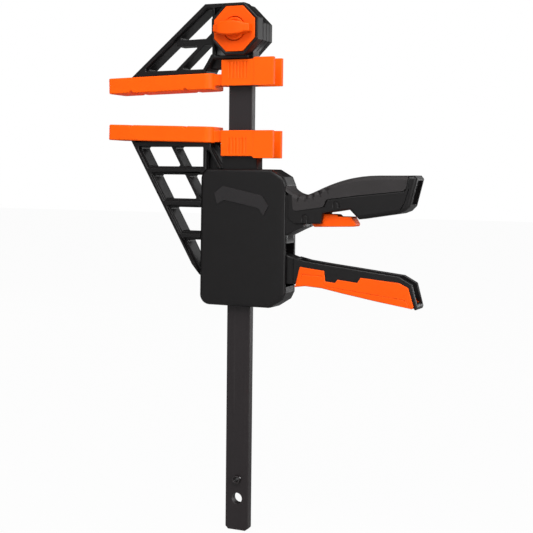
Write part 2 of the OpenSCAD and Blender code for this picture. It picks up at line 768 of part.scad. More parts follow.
// Walls, guide blocks, shelves and bosses that stand between the two covers
module frame_drawing() {
    difference() {
        polygon(body_outline());
        polygon(body_outline(-frame_wall));
        translate([body_right - frame_wall - 1, lever_mouth[0]]) square([20, lever_mouth[1] - lever_mouth[0]]);
        translate([body_right - frame_wall - 1, 58]) square([20, 20]);
    }
    block = bar_w/2 + bar_clear + guide_wall + block_wall;
    intersection() {
        polygon(body_outline(-0.5));
        union() {
            translate([-block, 0]) square([2*block, guide_h + 2.2]);
            translate([-block, top_guide_z - 1.4]) square([2*block, body_h]);
            // shelf of the drive spring
            translate([-body_left, drive_shelf - 3]) square([body_left, 3]);
            for (p = cover_screws_at) translate(p) circle(r = boss_out);
        }
    }
    // shelf of the brake spring
    translate([brake_spring_x - 4.6, brake_shelf - 2.4]) square([body_right - brake_spring_x + 3, 2.4]);
    // horn that holds the brake's fulcrum pin, and the ledge under the plates' left end
    translate([-body_left + 1, fulcrum[1] - 1.4]) square([fulcrum[0] + body_left + 2.6, 6.6]);
    translate([-body_left + 1, brake_hinge[1] - 4.6]) square([brake_hinge[0] + body_left - 1.4, 4]);
}

// ---------------------------------------------------------------- covers and fasteners

// A cover on the +Y side; its children are cut out of it
module cover_shell() {
    seat = frame_w/2;
    outer = body_w/2;
    edge = 1.3;
    difference() {
        union() {
            hull() {
                slab(seat, seat + cover_t - edge) polygon(body_outline());
                slab(seat, outer) polygon(body_outline(-2.6));
            }
            slab(outer - 0.2, outer + stripe_rise) polygon(stripe);
        }
        y_rod(lever_pivot[0], lever_pivot[1], lever_pin_d/2 + 0.02, 0, body_w/2 - 0.7);
        children();
    }
}
stripe = [[-16.2, 79.7], [-9.2, 84.9], [19.4, 78.9], [21.2, 78], [25.8, 71.4], [22, 64.4], [18.6, 69.2], [17, 70.1],
    [-8.3, 75], [-13.8, 72]];

module front_cover() {
    color(black) translate([0, 0, body_z]) mirror([0, 1, 0]) cover_shell()
        for (p = cover_screws_at) y_rod(p[0], p[1], screw_r, 0, body_w/2 - 0.8);
}

module rear_cover() {
    color(black) translate([0, 0, body_z]) difference() {
        cover_shell() for (p = cover_screws_at) y_rod(p[0], p[1], screw_r + 0.15, 0, body_w);
        for (p = cover_screws_at) y_rod(p[0], p[1], 3.1, body_w/2 - 1.9, body_w);
    }
}

module cover_screws() {
    color(steel) translate([0, 0, body_z]) for (p = cover_screws_at) difference() {
        union() {
            y_rod(p[0], p[1], screw_r, -body_w/2 + 1, body_w/2 - 1.8);
            y_rod(p[0], p[1], 2.8, body_w/2 - 1.88, body_w/2 - 0.2);
        }
        translate([p[0], body_w/2 - 0.2, p[1]]) cross_recess(1.7, 1.1);
    }
}

module bar_guide(z) {
    color([0.75, 0.75, 0.72]) translate([0, 0, body_z + z + 0.05]) linear_extrude(guide_h) difference() {
        square([bar_w + 2*bar_clear + 2*guide_wall, bar_t + 2*bar_clear + 2*guide_wall], center = true);
        bar_section(bar_clear);
    }
}

module lower_bar_guide() {
    bar_guide(low_guide_z);
}

module upper_bar_guide() {
    bar_guide(top_guide_z);
}

module brake_fulcrum_pin() {
    color(steel) translate([0, 0, body_z])
        y_rod(fulcrum[0], fulcrum[1], fulcrum_r, -frame_w/2 + 0.1, frame_w/2 - 0.1);
}

module lever_pivot_pin() {
    color(steel) translate([0, 0, body_z])
        y_rod(lever_pivot[0], lever_pivot[1], lever_pin_d/2, -body_w/2 + 0.8, body_w/2 - 0.8);
}

module trigger_pivot_pin() {
    color(steel) translate([0, 0, body_z])
        y_rod(trigger_pivot[0], trigger_pivot[1], trigger_pin_d/2, -body_w/2 + 2.2, body_w/2 - 2.2);
}

// ---------------------------------------------------------------- handle skins

module handle_grip() {
    color(soft_black) translate([0, 0, body_z]) difference() {
        centred_slab(grip_w) grip_drawing();
        handle_skin_room();
        // thumb grooves across the top, deeper on the rounded shoulders
        for (g = thumb_grooves) translate([g[0], 0, g[1]]) rotate([0, -g[2], 0]) {
            translate([-0.5, -grip_w, -0.8]) cube([1, 2*grip_w, 6]);
            for (side = [-1, 1]) translate([-0.65, side*grip_w/2 - 1, -4.6]) cube([1.3, 2, 12]);
        }
    }
}
// Thumb grooves: place on the handle's top and lean
thumb_grooves = [[48.2, 79.6, -8], [53, 79.5, 4], [57.8, 80.5, 16], [62.6, 82.4, 24], [67.4, 84.7, 27]];

// The core that the grip is moulded over, with its clearance
module handle_skin_room() {
    centred_slab(neck_of_handle_w + 2*seat_clear) offset(delta = seat_clear) under_grip();
}

module handle_end_cap() {
    cap = concat([end_line[0] + [0.2, 0]], [handle_end_top], handle_end, [end_line[2] + [0.2, 0]],
        [end_line[1] + [0.2, 0]]);
    color(black) translate([0, 0, body_z]) difference() {
        centred_slab(handle_w) polygon(cap);
        // hollow end
        centred_slab(handle_w - 2.4) polygon([[128.2, 92.4], [140, 92.4], [140, 73.4], [125.2, 73.4], [126.6, 77],
            [128.1, 84.4]]);
    }
}

// ---------------------------------------------------------------- pump lever

lever_top = [[43.6, 36.1], [52.3, 34.1], [66, 32.4], [82, 30.6], [120, 26.4], [129, 21.6], [133.2, 6.4], [132.4, 4.3],
    [130.9, 4.6]];
lever_foot = [[131, 4.4], [104.3, 8.9], [80.9, 12.9], [65, 15.9], [52.9, 16.7], [44.8, 15.6]];
grip_top = [[46.2, 17.5], [49.1, 29.9], [67.1, 27.9], [68, 20.7], [75.2, 20], [76.8, 22.3], [91.2, 20.8],
    [93.5, 24.4], [120.9, 22], [127, 19], [130.6, 7.4]];

grip_groove = [[49.6, 19.5], [50.8, 24.7], [65.6, 24.1], [66.9, 18.6], [69.3, 17.1], [123.4, 11], [126.1, 9.8],
    [127.6, 6.6]];

// Side view of the lever's channel outside the body
module lever_drawing() {
    polygon(concat(lever_top, [[130.9, 7.6], [104.5, 11.6], [81.2, 15.4], [65.2, 18.5], [52.8, 19.4], [43.6, 18]]));
}

// Root that goes between the covers, with its boss and nose
module lever_root_drawing() {
    translate(lever_pivot) circle(r = lever_root_r);
    polygon([lever_pivot + [0, lever_root_r - 0.3], [38, 37.6], [45.6, 35.2], [45.6, 17.6], [38, 17.4],
        lever_pivot + [-1, -lever_root_r + 0.3]]);
    strut(lever_pivot, lever_pivot + nose_at, 4.8);
}

module pump_lever() {
    color(black) translate([0, 0, body_z]) difference() {
        union() {
            difference() {
                centred_slab(lever_w) lever_drawing();
                // channel, open at the top
                centred_slab(lever_w - 2*lever_wall) translate([0, lever_wall]) polygon([[46, 60], [46, 19],
                    [52.8, 19.8], [65.2, 18.9], [81.2, 15.8], [104.5, 12], [129.6, 6.4], [140, 4.9],
                    [140, 60]]);
            }
            centred_slab(lever_root_w) lever_root_drawing();
        }
        y_rod(lever_pivot[0], lever_pivot[1], lever_pin_d/2 + pin_clear, -body_w, body_w);
        // slot of the hard nose plate and holes of its rivets
        centred_slab(nose_plate_w + 2*0.05) offset(delta = 0.05) nose_plate_drawing();
        for (p = nose_rivets_at) y_rod(lever_pivot[0] + p[0], lever_pivot[1] + p[1], rivet_r, -body_w, body_w);
    }
}

nose_plate_w = 4;
nose_rivets_at = [[-4.9, 0]];
rivet_r = 1;

module nose_plate_drawing() {
    translate(lever_pivot + nose_at) circle(r = nose_r);
    strut(lever_pivot + [-3.6, 0], lever_pivot + nose_at, 3.4);
}

module lever_nose_plate() {
    color(steel) translate([0, 0, body_z]) difference() {
        centred_slab(nose_plate_w) nose_plate_drawing();
        y_rod(lever_pivot[0], lever_pivot[1], lever_pin_d/2 + pin_clear, -body_w, body_w);
        for (p = nose_rivets_at) y_rod(lever_pivot[0] + p[0], lever_pivot[1] + p[1], rivet_r, -body_w, body_w);
    }
}

module nose_rivets() {
    color(steel) translate([0, 0, body_z]) for (p = nose_rivets_at)
        y_rod(lever_pivot[0] + p[0], lever_pivot[1] + p[1], rivet_r, -lever_root_w/2 + 0.1, lever_root_w/2 - 0.1);
}

// Orange grip moulded round the lower side of the lever
module lever_grip() {
    skin = concat(grip_top, [[130.2, 5]], [for (i = [1:5]) lever_foot[i]]);
    color(orange) translate([0, 0, body_z]) difference() {
        centred_slab(lever_grip_w) polygon(skin);
        centred_slab(lever_w + 2*seat_clear) offset(delta = seat_clear) lever_drawing();
        // engraved line along both sides
        for (side = [-1, 1]) slab(side*lever_grip_w/2 - 0.4, side*lever_grip_w/2 + 0.4)
            for (i = [1:len(grip_groove) - 1]) strut(grip_groove[i - 1], grip_groove[i], 0.5);
    }
}

// ---------------------------------------------------------------- drive plates, trigger and brake

// Plate with a window for the bar, lying flat with its lower face at z = 0
module grip_plate(left, right, hole_left, hole_right) {
    difference() {
        translate([left, -plate_w/2, 0]) cube([right - left, plate_w, plate_t]);
        translate([hole_left, -bar_t/2 - 0.25, -1]) cube([hole_right - hole_left, bar_t + 0.5, plate_t + 2]);
    }
}

module drive_plate(level) {
    hole = bar_w/2 + grip_gap;
    color(steel) translate([0, 0, body_z + drive_top - plate_t - level*(plate_t + 0.05)])
        grip_plate(drive_left, drive_right, -hole, hole);
}

module upper_drive_plate() {
    drive_plate(0);
}

module lower_drive_plate() {
    drive_plate(1);
}

// Brake plates tilt about their left end; the spring keeps their right end up.
// Tilted, the window's right side reaches the bar's edge; lying flat it clears it.
module brake_plate(level) {
    up = level*(plate_t + 0.05);
    bite = (bar_w/2 - brake_hinge[0] + (up + plate_t)*sin(brake_tilt))/cos(brake_tilt) + brake_hinge[0];
    color(steel) translate([brake_hinge[0], 0, body_z + brake_hinge[1]]) rotate([0, -brake_tilt, 0])
        translate([-brake_hinge[0], 0, up])
            grip_plate(brake_left, brake_right, -bar_w/2 - grip_gap, bite + 0.06);
}

module upper_brake_plate() {
    brake_plate(1);
}

module lower_brake_plate() {
    brake_plate(0);
}

module release_trigger() {
    pad = [[57.9, 57.6], [87.4, 58.6], [88, 60.2], [85, 65.2], [75.5, 65.2], [74, 66.6],
        [60, 66.8], [54, 62]];
    color(orange) translate([0, 0, body_z]) difference() {
        union() {
            centred_slab(trigger_w) polygon(pad);
            centred_slab(trigger_arm_w) {
                strut(trigger_pivot, [60, 63.4], 5.4);
                strut(trigger_pivot, [23, 77], 5);
                strut([23, 77], trigger_nose, 4.6);
                translate(trigger_pivot) circle(r = 3.7);
                translate([23, 77]) circle(r = 2.5);
                translate(trigger_nose) circle(r = trigger_nose_r);
            }
        }
        y_rod(trigger_pivot[0], trigger_pivot[1], trigger_pin_d/2 + pin_clear, -body_w, body_w);
        // finger trough, open at the top
        centred_slab(trigger_w - 3.6) polygon([[66, 61], [84.6, 60.6], [86, 70], [66, 70]]);
    }
}

// ---------------------------------------------------------------- coil springs

spring_sides = 8;
spring_steps = 14;

function coil_point(i, turns, length, r) = let (
        u = i/(turns*spring_steps), rise = spring_wire + 0.06, end = 1/turns,
        z = u < end ? rise*u/end : u > 1 - end ? length - spring_wire - rise*(1 - u)/end
            : rise + (length - spring_wire - 2*rise)*(u - end)/(1 - 2*end))
    [r*cos(360*i/spring_steps), r*sin(360*i/spring_steps), spring_wire/2 + z];

module coil_spring(turns, length) {
    r = (spring_d - spring_wire)/2;
    n = turns*spring_steps;
    points = [for (i = [0:n], k = [0:spring_sides - 1]) let (
            c = coil_point(i, turns, length, r), a = 360*i/spring_steps, b = 360*k/spring_sides)
        c + spring_wire/2*[cos(b)*cos(a), cos(b)*sin(a), sin(b)]];
    faces = concat([[for (k = [0:spring_sides - 1]) k]],
        [for (i = [0:n - 1], k = [0:spring_sides - 1]) let (j = (k + 1)%spring_sides, m = spring_sides)
            [i*m + k, (i + 1)*m + k, (i + 1)*m + j, i*m + j]],
        [[for (k = [0:spring_sides - 1]) n*spring_sides + spring_sides - 1 - k]]);
    polyhedron(points, faces);
}

module drive_spring() {
    length = drive_top - 2*plate_t - 0.05 - drive_shelf;
    color(steel) translate([drive_spring_x, 0, body_z + drive_shelf + 0.03]) coil_spring(6, length - 0.06);
}

module brake_spring() {
    reach = brake_spring_x - brake_hinge[0];
    length = brake_hinge[1] + reach*sin(brake_tilt) - brake_shelf - 0.5;
    color(steel) translate([brake_spring_x, 0, body_z + brake_shelf + 0.03]) coil_spring(6, length);
}

// ---------------------------------------------------------------- the nodes

bar();
stop_pin();
fixed_jaw();
fixed_jaw_pad();
lock_plate();
rear_lock_plate();
head_screws();
lock_knob();
lock_spindle();
knob_cross_pin();
lock_washer();
lock_clip();
moving_jaw_frame();
moving_jaw_pad();
front_cover();
rear_cover();
cover_screws();
lower_bar_guide();
upper_bar_guide();
brake_fulcrum_pin();
lever_pivot_pin();
trigger_pivot_pin();
handle_grip();
handle_end_cap();
drive_spring();
brake_spring();
pump_lever();
lever_grip();
lever_nose_plate();
nose_rivets();
upper_drive_plate();
lower_drive_plate();
release_trigger();
upper_brake_plate();
lower_brake_plate();
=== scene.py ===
"""Quick release bar clamp: the visible model round the packed frame.

The pieces that show are made from the frame's shapes with their edges rounded, or modelled anew, and all of
them get finishes built from nodes. Lengths are metres; the +Z axis runs up the bar and -Y faces the viewer.
"""

import json
import math

import bmesh
import bpy
from bpy.props import FloatProperty, FloatVectorProperty, PointerProperty
from mathutils import Matrix, Vector
from mathutils.geometry import interpolate_bezier


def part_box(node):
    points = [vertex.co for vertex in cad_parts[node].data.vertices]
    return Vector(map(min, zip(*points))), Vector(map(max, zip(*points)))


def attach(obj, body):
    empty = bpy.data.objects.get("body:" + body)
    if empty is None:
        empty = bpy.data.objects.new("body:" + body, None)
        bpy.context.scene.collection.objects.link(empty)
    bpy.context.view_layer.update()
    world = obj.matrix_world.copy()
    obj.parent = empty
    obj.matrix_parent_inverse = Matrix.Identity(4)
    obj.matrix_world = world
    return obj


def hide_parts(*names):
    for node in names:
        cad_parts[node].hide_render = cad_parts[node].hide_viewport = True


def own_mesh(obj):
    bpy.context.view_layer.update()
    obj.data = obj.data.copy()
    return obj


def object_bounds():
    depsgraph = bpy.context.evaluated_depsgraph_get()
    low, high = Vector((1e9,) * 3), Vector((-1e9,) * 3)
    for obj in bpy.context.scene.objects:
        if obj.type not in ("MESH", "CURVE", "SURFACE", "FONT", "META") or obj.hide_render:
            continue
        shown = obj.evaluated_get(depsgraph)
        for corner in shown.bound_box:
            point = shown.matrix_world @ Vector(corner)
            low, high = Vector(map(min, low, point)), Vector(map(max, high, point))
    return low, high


bl_info = {
    "name": "Quick release bar clamp",
    "version": (1, 0, 0),
    "blender": (4, 5, 0),
    "location": "3D View > Sidebar > Clamp",
    "description": "Builds the visible pieces, finishes and stage of a one-handed bar clamp",
    "category": "Object",
}

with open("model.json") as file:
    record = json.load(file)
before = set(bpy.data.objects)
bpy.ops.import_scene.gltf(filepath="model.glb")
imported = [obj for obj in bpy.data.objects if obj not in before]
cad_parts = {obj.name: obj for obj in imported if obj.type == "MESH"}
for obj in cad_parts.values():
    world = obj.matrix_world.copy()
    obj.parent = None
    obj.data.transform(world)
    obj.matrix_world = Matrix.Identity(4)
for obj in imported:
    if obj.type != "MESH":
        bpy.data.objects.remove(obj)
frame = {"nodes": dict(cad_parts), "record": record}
CAD_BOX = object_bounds()
NODES = frame["nodes"]
BODY_OF = {n: body for body, names in frame["record"]["behaviour"]["bodies"].items() for n in names}

MM = 0.001
FLOOR_GAP = 0.05 * MM
# Height of the carriage's lower edge above the hang hole, and the middle of the lock's axis
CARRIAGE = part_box("front_cover")[0][2]
LOCK = Vector((0, 0, sum(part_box("lock_spindle")[i][2] for i in (0, 1)) / 2))


# ---------------------------------------------------------------- sizes and colours to change

def length(name, description, default, most=20 * MM):
    return FloatProperty(name=name, description=description, default=default, min=0, max=most, unit="LENGTH",
                         precision=5)


def colour(name, description, default):
    return FloatVectorProperty(name=name, description=description, default=default, size=3, min=0, max=1,
                               subtype="COLOR")


def number(name, description, default, most=1.0):
    return FloatProperty(name=name, description=description, default=default, min=0, max=most)


class ClampSizes(bpy.types.PropertyGroup):
    """Radii and depths that soften the frame's shapes"""

    mould_edge: length("Moulded edge", "Radius on the edges of the black mouldings", 0.7 * MM)
    strut_edge: length("Strut edge", "Radius on the set-back struts of the jaws", 0.3 * MM)
    cover_edge: length("Cover edge", "Radius where a cover's flat meets its chamfer", 1.0 * MM)
    pad_edge: length("Pad edge", "Radius round a pad's outline", 0.9 * MM)
    clip_edge: length("Clip edge", "Radius on the pads' clip arms", 0.45 * MM)
    rib_edge: length("Rib edge", "Radius on the thumb ribs of the clips", 0.14 * MM)
    handle_edge: length("Handle edge", "Radius along the lower edge and the end of the hard handle", 2.7 * MM)
    grip_shoulder: length("Grip shoulder", "Radius along the top of the handle", 3.6 * MM)
    lock_edge: length("Lock plate edge", "Radius on the plate in the front of the head", 0.3 * MM)
    rear_edge: length("Rear plate edge", "Radius on the plate that closes the head's back", 0.25 * MM)
    steel_edge: length("Steel edge", "Radius on cut and punched steel", 0.15 * MM)


class ClampColours(bpy.types.PropertyGroup):
    """Base colours of the clamp's finishes"""

    nylon: colour("Black nylon", "Jaws, covers, handle and lever", (0.0030, 0.0024, 0.0026))
    stripe: colour("Cover stripe", "Fine-textured stripe on the covers", (0.0180, 0.0165, 0.0172))
    rubber: colour("Soft grip", "Overmoulded top of the handle", (0.0275, 0.0250, 0.0254))
    orange: colour("Orange moulding", "Lock, trigger and lever grip", (0.90, 0.088, 0.0015))
    pad: colour("Orange pad", "Jaw pads", (0.97, 0.106, 0.0015))
    bar: colour("Bar steel", "Blackened bar", (0.0120, 0.0088, 0.0098))
    steel: colour("Plain steel", "Pins, screws, springs and plates", (0.52, 0.52, 0.53))
    guide: colour("Bar guide", "Pale acetal liners", (0.62, 0.61, 0.56))
    floor: colour("Floor", "Plain grey floor, lifted to white for the camera", (0.42, 0.42, 0.42))


class ClampStage(bpy.types.PropertyGroup):
    """Light levels and camera"""

    world: number("World light", "Level of the plain light from all round", 0.05, 4)
    key: number("Key light", "Power of the large lamp above the front, in watts", 32.0, 200)
    side: number("Side light", "Power of the lamp on the right, in watts", 22.0, 200)
    rim: number("Rim lights", "Power of the lamps behind, in watts", 10.0, 200)
    sheen: number("Sheen light", "Power of the wide lamp that the flat fronts mirror, in watts", 5.0, 200)
    glow: number("Floor glow", "How far the floor is lifted to white for the camera", 0.97, 1)
    lens: FloatProperty(name="Lens", description="Focal length on a 36 mm sensor", default=77.83, min=10,
                        max=300, unit="CAMERA")
    floor_size: length("Floor size", "Length of the floor's side", 12.0, 50)


def sizes():
    return bpy.context.scene.clamp_sizes


def colours():
    return bpy.context.scene.clamp_colours


# ---------------------------------------------------------------- finishes

class Level:
    """One output of a shader node, on which Python's operators add Math nodes."""

    def __init__(self, finish, socket):
        self.finish = finish
        self.socket = socket

    def math(self, operation, *values, **settings):
        settings["operation"] = operation
        return self.finish.node("ShaderNodeMath", settings, dict(enumerate(values)))

    def __add__(self, other):
        return self.math("ADD", self, other)

    def __radd__(self, other):
        return self.math("ADD", other, self)

    def __sub__(self, other):
        return self.math("SUBTRACT", self, other)

    def __rsub__(self, other):
        return self.math("SUBTRACT", other, self)

    def __mul__(self, other):
        return self.math("MULTIPLY", self, other)

    def __rmul__(self, other):
        return self.math("MULTIPLY", other, self)

    def __truediv__(self, other):
        return self.math("DIVIDE", self, other)

    def __rtruediv__(self, other):
        return self.math("DIVIDE", other, self)

    def clamped(self):
        return self.math("ADD", self, 0.0, use_clamp=True)

    def above(self, low, high):
        """0 under low, 1 over high, and an even slope between."""
        return ((self - low) / (high - low)).clamped()


class Finish:
    """A material built from nodes round one principled shader."""

    # How fast an edge's mark rises with the turn of the surface
    EDGE_GAIN = 6.0

    def __init__(self, name):
        self.material = bpy.data.materials.new(name)
        self.material.use_nodes = True
        self.tree = self.material.node_tree
        self.shader = self.tree.nodes["Principled BSDF"]
        self.place = self.node("ShaderNodeTexCoord", output="Object")

    def node(self, kind, settings=None, inputs=None, output=0):
        """Adds a node: its settings first, then its inputs as values or links. Gives back one output."""
        made = self.tree.nodes.new(kind)
        for name, value in (settings or {}).items():
            setattr(made, name, value)
        for name, value in (inputs or {}).items():
            self.feed(made.inputs[name], value)
        return Level(self, made.outputs[output])

    def feed(self, socket, value):
        if isinstance(value, Level):
            self.tree.links.new(value.socket, socket)
        else:
            socket.default_value = value

    def set(self, **values):
        """Feeds the shader's sockets, named with _ for a space."""
        for name, value in values.items():
            words = name.split("_")
            self.feed(self.shader.inputs[" ".join(w if w == "IOR" else w.capitalize() for w in words)], value)

    def stretched(self, scale):
        """Object coordinates, longer or shorter along each axis."""
        return self.node("ShaderNodeMapping", {"vector_type": "POINT"},
                         {"Vector": self.place, "Scale": scale})

    def noise(self, per_metre, detail=2.0, vector=None, roughness=0.5):
        return self.node("ShaderNodeTexNoise", {}, {
            "Vector": vector or self.place, "Scale": per_metre, "Detail": detail, "Roughness": roughness})

    def cells(self, per_metre):
        return self.node("ShaderNodeTexVoronoi", {"feature": "F1"},
                         {"Vector": self.place, "Scale": per_metre}, output="Distance")

    def edges(self, reach):
        """1 along outer edges, falling to 0 within reach of them."""
        rounded = self.node("ShaderNodeBevel", {"samples": 4}, {"Radius": reach})
        plain = self.node("ShaderNodeNewGeometry", output="Normal")
        alike = self.node("ShaderNodeVectorMath", {"operation": "DOT_PRODUCT"}, {0: rounded, 1: plain},
                          output="Value")
        return ((1.0 - alike) * self.EDGE_GAIN).clamped()

    def mix(self, factor, first, second):
        return self.node("ShaderNodeMix", {"data_type": "RGBA"}, {"Factor": factor, 6: first, 7: second},
                         output=2)

    def shades(self, factor, shade, low, high):
        """A colour that runs from low to high times a shade."""
        dark = [c * low for c in shade] + [1.0]
        light = [min(1.0, c * high) for c in shade] + [1.0]
        return self.mix(factor, dark, light)

    def bump(self, height, depth, strength, under=None):
        inputs = {"Height": height, "Distance": depth, "Strength": strength}
        if under is not None:
            inputs["Normal"] = under
        return self.node("ShaderNodeBump", {}, inputs)


def moulded(name, shade, rough, worn, grain=3200.0, depth=0.02 * MM, wear_shade=2.2, gloss=0.5):
    """Injection-moulded plastic: spark grain, faint flow marks, rubbed edges and a few fine scratches."""
    f = Finish(name)
    flow = f.noise(38.0, 3.0, f.stretched((1.0, 1.0, 2.4)))
    spots = f.noise(420.0, 2.0)
    sparks = f.noise(grain, 3.0, roughness=0.6)
    scratches = f.noise(900.0, 1.0, f.stretched((1.0, 1.0, 0.05))).above(0.70, 0.76) * spots.above(0.52, 0.6)
    rubbed = (f.edges(0.55 * MM) * spots.above(0.38, 0.62) * worn).clamped()
    body = f.shades((flow * 0.7 + spots * 0.3).above(0.3, 0.7), shade, 0.88, 1.1)
    pale = [min(1.0, c * wear_shade + 0.004) for c in shade] + [1.0]
    f.set(Base_Color=f.mix((rubbed + scratches * 0.25).clamped(), body, pale),
          Roughness=(rough + (sparks - 0.5) * 0.16 + (flow - 0.5) * 0.1 - rubbed * 0.12).clamped(),
          Normal=f.bump(spots, depth * 1.5, 0.25, f.bump(sparks, depth, 0.6)),
          IOR=1.48, Specular_IOR_Level=gloss)
    return f


class Finishes:
    """Makes each finish once and keeps it."""

    made = {}

    @classmethod
    def get(cls, name):
        if name not in cls.made:
            cls.made[name] = getattr(cls, name)().material
        return cls.made[name]

    @staticmethod
    def black_nylon():
        return moulded("black_nylon", colours().nylon, 0.43, 0.35, gloss=0.36)

    @staticmethod
    def cover_stripe():
        return moulded("cover_stripe", colours().stripe, 0.62, 0.2, grain=5200.0, depth=0.01 * MM, gloss=0.26)

    @staticmethod
    def soft_rubber():
        return moulded("soft_rubber", colours().rubber, 0.66, 0.25, grain=1900.0, depth=0.03 * MM,
                       wear_shade=1.7, gloss=0.24)

    @staticmethod
    def orange_nylon():
        return orange_moulding("orange_nylon", colours().orange, 0.42)

    @staticmethod
    def orange_pad():
        return orange_moulding("orange_pad", colours().pad, 0.5)

    @staticmethod
    def black_bar():
        """Hot-rolled flat bar, blackened: mill grain along its length, fine scale and rubbed corners."""
        f = Finish("black_bar")
        shade = colours().bar
        grain = f.noise(1500.0, 2.0, f.stretched((1.0, 1.0, 0.012)))
        scale = f.noise(260.0, 4.0, roughness=0.65)
        pits = f.cells(900.0).above(0.0, 0.35)
        patches = f.noise(28.0, 3.0, f.stretched((1.0, 1.0, 0.3)))
        drags = f.noise(500.0, 2.0, f.stretched((1.0, 1.0, 0.02))).above(0.62, 0.72)
        rubbed = (f.edges(0.5 * MM) * scale.above(0.35, 0.65) * 0.55).clamped()
        body = f.shades((patches * 0.6 + grain * 0.4).above(0.32, 0.68), shade, 0.8, 1.25)
        worn = f.mix((drags * 0.12 + rubbed).clamped(), body, (0.09, 0.085, 0.085, 1.0))
        f.set(Base_Color=worn,
              Metallic=(rubbed * 0.7 + drags * 0.15).clamped(),
              Roughness=(0.46 + (scale - 0.5) * 0.2 - rubbed * 0.12 - drags * 0.06).clamped(),
              Normal=f.bump(grain, 0.012 * MM, 0.5, f.bump(scale * 0.7 + pits * 0.3, 0.03 * MM, 0.4)),
              Specular_IOR_Level=0.4)
        return f

    @staticmethod
    def plain_steel():
        """Zinc-plated steel: fine drawn lines, a soft cloudiness and darker pits."""
        f = Finish("plain_steel")
        lines = f.noise(2600.0, 1.0, f.stretched((1.0, 0.03, 1.0)))
        cloud = f.noise(180.0, 3.0)
        pits = f.cells(700.0).above(0.0, 0.25)
        f.set(Base_Color=f.shades((cloud * 0.6 + pits * 0.4).clamped(), colours().steel, 0.7, 1.15),
              Metallic=(0.86 + cloud * 0.14).clamped(),
              Roughness=(0.28 + cloud * 0.2 + (lines - 0.5) * 0.1).clamped(),
              Normal=f.bump(lines, 0.01 * MM, 0.4))
        return f

    @staticmethod
    def acetal():
        return moulded("acetal", colours().guide, 0.38, 0.15, grain=2400.0, wear_shade=1.1)


def orange_moulding(name, shade, rough):
    """Orange plastic: satin with a fine grain, a deeper colour in its flow lines and a painted highlight
    along its edges.
    """
    f = Finish(name)
    flow = f.noise(55.0, 3.0, f.stretched((1.0, 1.0, 1.8)))
    spots = f.noise(700.0, 2.0)
    sparks = f.noise(3600.0, 2.0)
    # Painted highlight: a mask along every outer edge, in patches, standing in for the light that rounded
    # edges catch
    edge = (f.edges(0.6 * MM) * (0.25 + spots * 0.35)).clamped()
    smudges = f.noise(90.0, 4.0, roughness=0.7).above(0.58, 0.75)
    body = f.shades((flow * 0.75 + spots * 0.25).above(0.3, 0.7), shade, 0.93, 1.04)
    marked = f.mix(smudges * 0.06, body, (0.45, 0.06, 0.02, 1.0))
    # The base colour is mixed towards a pale orange by that mask: a painted highlight on the edges
    f.set(Base_Color=f.mix(edge * 0.7, marked, (1.0, 0.24, 0.03, 1.0)),
          Roughness=(rough + (flow - 0.5) * 0.1 + (sparks - 0.5) * 0.14 + smudges * 0.05).clamped(),
          Normal=f.bump(sparks, 0.012 * MM, 0.5, f.bump(spots, 0.02 * MM, 0.2)), Specular_IOR_Level=0.13)
    return f


# ---------------------------------------------------------------- shaping

# Points nearer than this are one, and faces that turn less than this, in degrees, are one flat
MERGED = 0.002 * MM
FLAT_TURN = 0.25
# Edges that turn more than this, in degrees, are rounded, and those that turn less are shaded smooth
ROUNDED_OVER = 32.0
SMOOTH_UNDER = 38.0
# How strongly large faces lead the shading beside their rounded edges, from 0 to 100
LARGE_FACES_LEAD = 80


def shape_of(node):
    """A mesh to edit with a frame node's shape, its doubles merged and its flat faces joined."""
    shape = bmesh.new()
    shape.from_mesh(NODES[node].data)
    bmesh.ops.remove_doubles(shape, verts=shape.verts, dist=MERGED)
    bmesh.ops.dissolve_limit(shape, angle_limit=math.radians(FLAT_TURN), verts=shape.verts, edges=shape.edges,
                             delimit=set())
    return shape


def prism(side, front, back):
    """A solid with a side view, given as X and height above the carriage's lower edge in millimetres."""
    shape = bmesh.new()
    ring = [shape.verts.new((x * MM, front, CARRIAGE + z * MM)) for x, z in side]
    face = shape.faces.new(ring)
    grown = bmesh.ops.extrude_face_region(shape, geom=[face])
    bmesh.ops.translate(shape, vec=(0, back - front, 0),
                        verts=[v for v in grown["geom"] if isinstance(v, bmesh.types.BMVert)])
    bmesh.ops.recalc_face_normals(shape, faces=shape.faces)
    return shape


def add_block(shape, block):
    """Sinks a closed block into a shape."""
    mesh = bpy.data.meshes.new("block")
    block.to_mesh(mesh)
    block.free()
    shape.from_mesh(mesh)
    bpy.data.meshes.remove(mesh)


def middle(edge):
    """Middle of an edge, in millimetres."""
    return (edge.verts[0].co + edge.verts[1].co) / 2 / MM


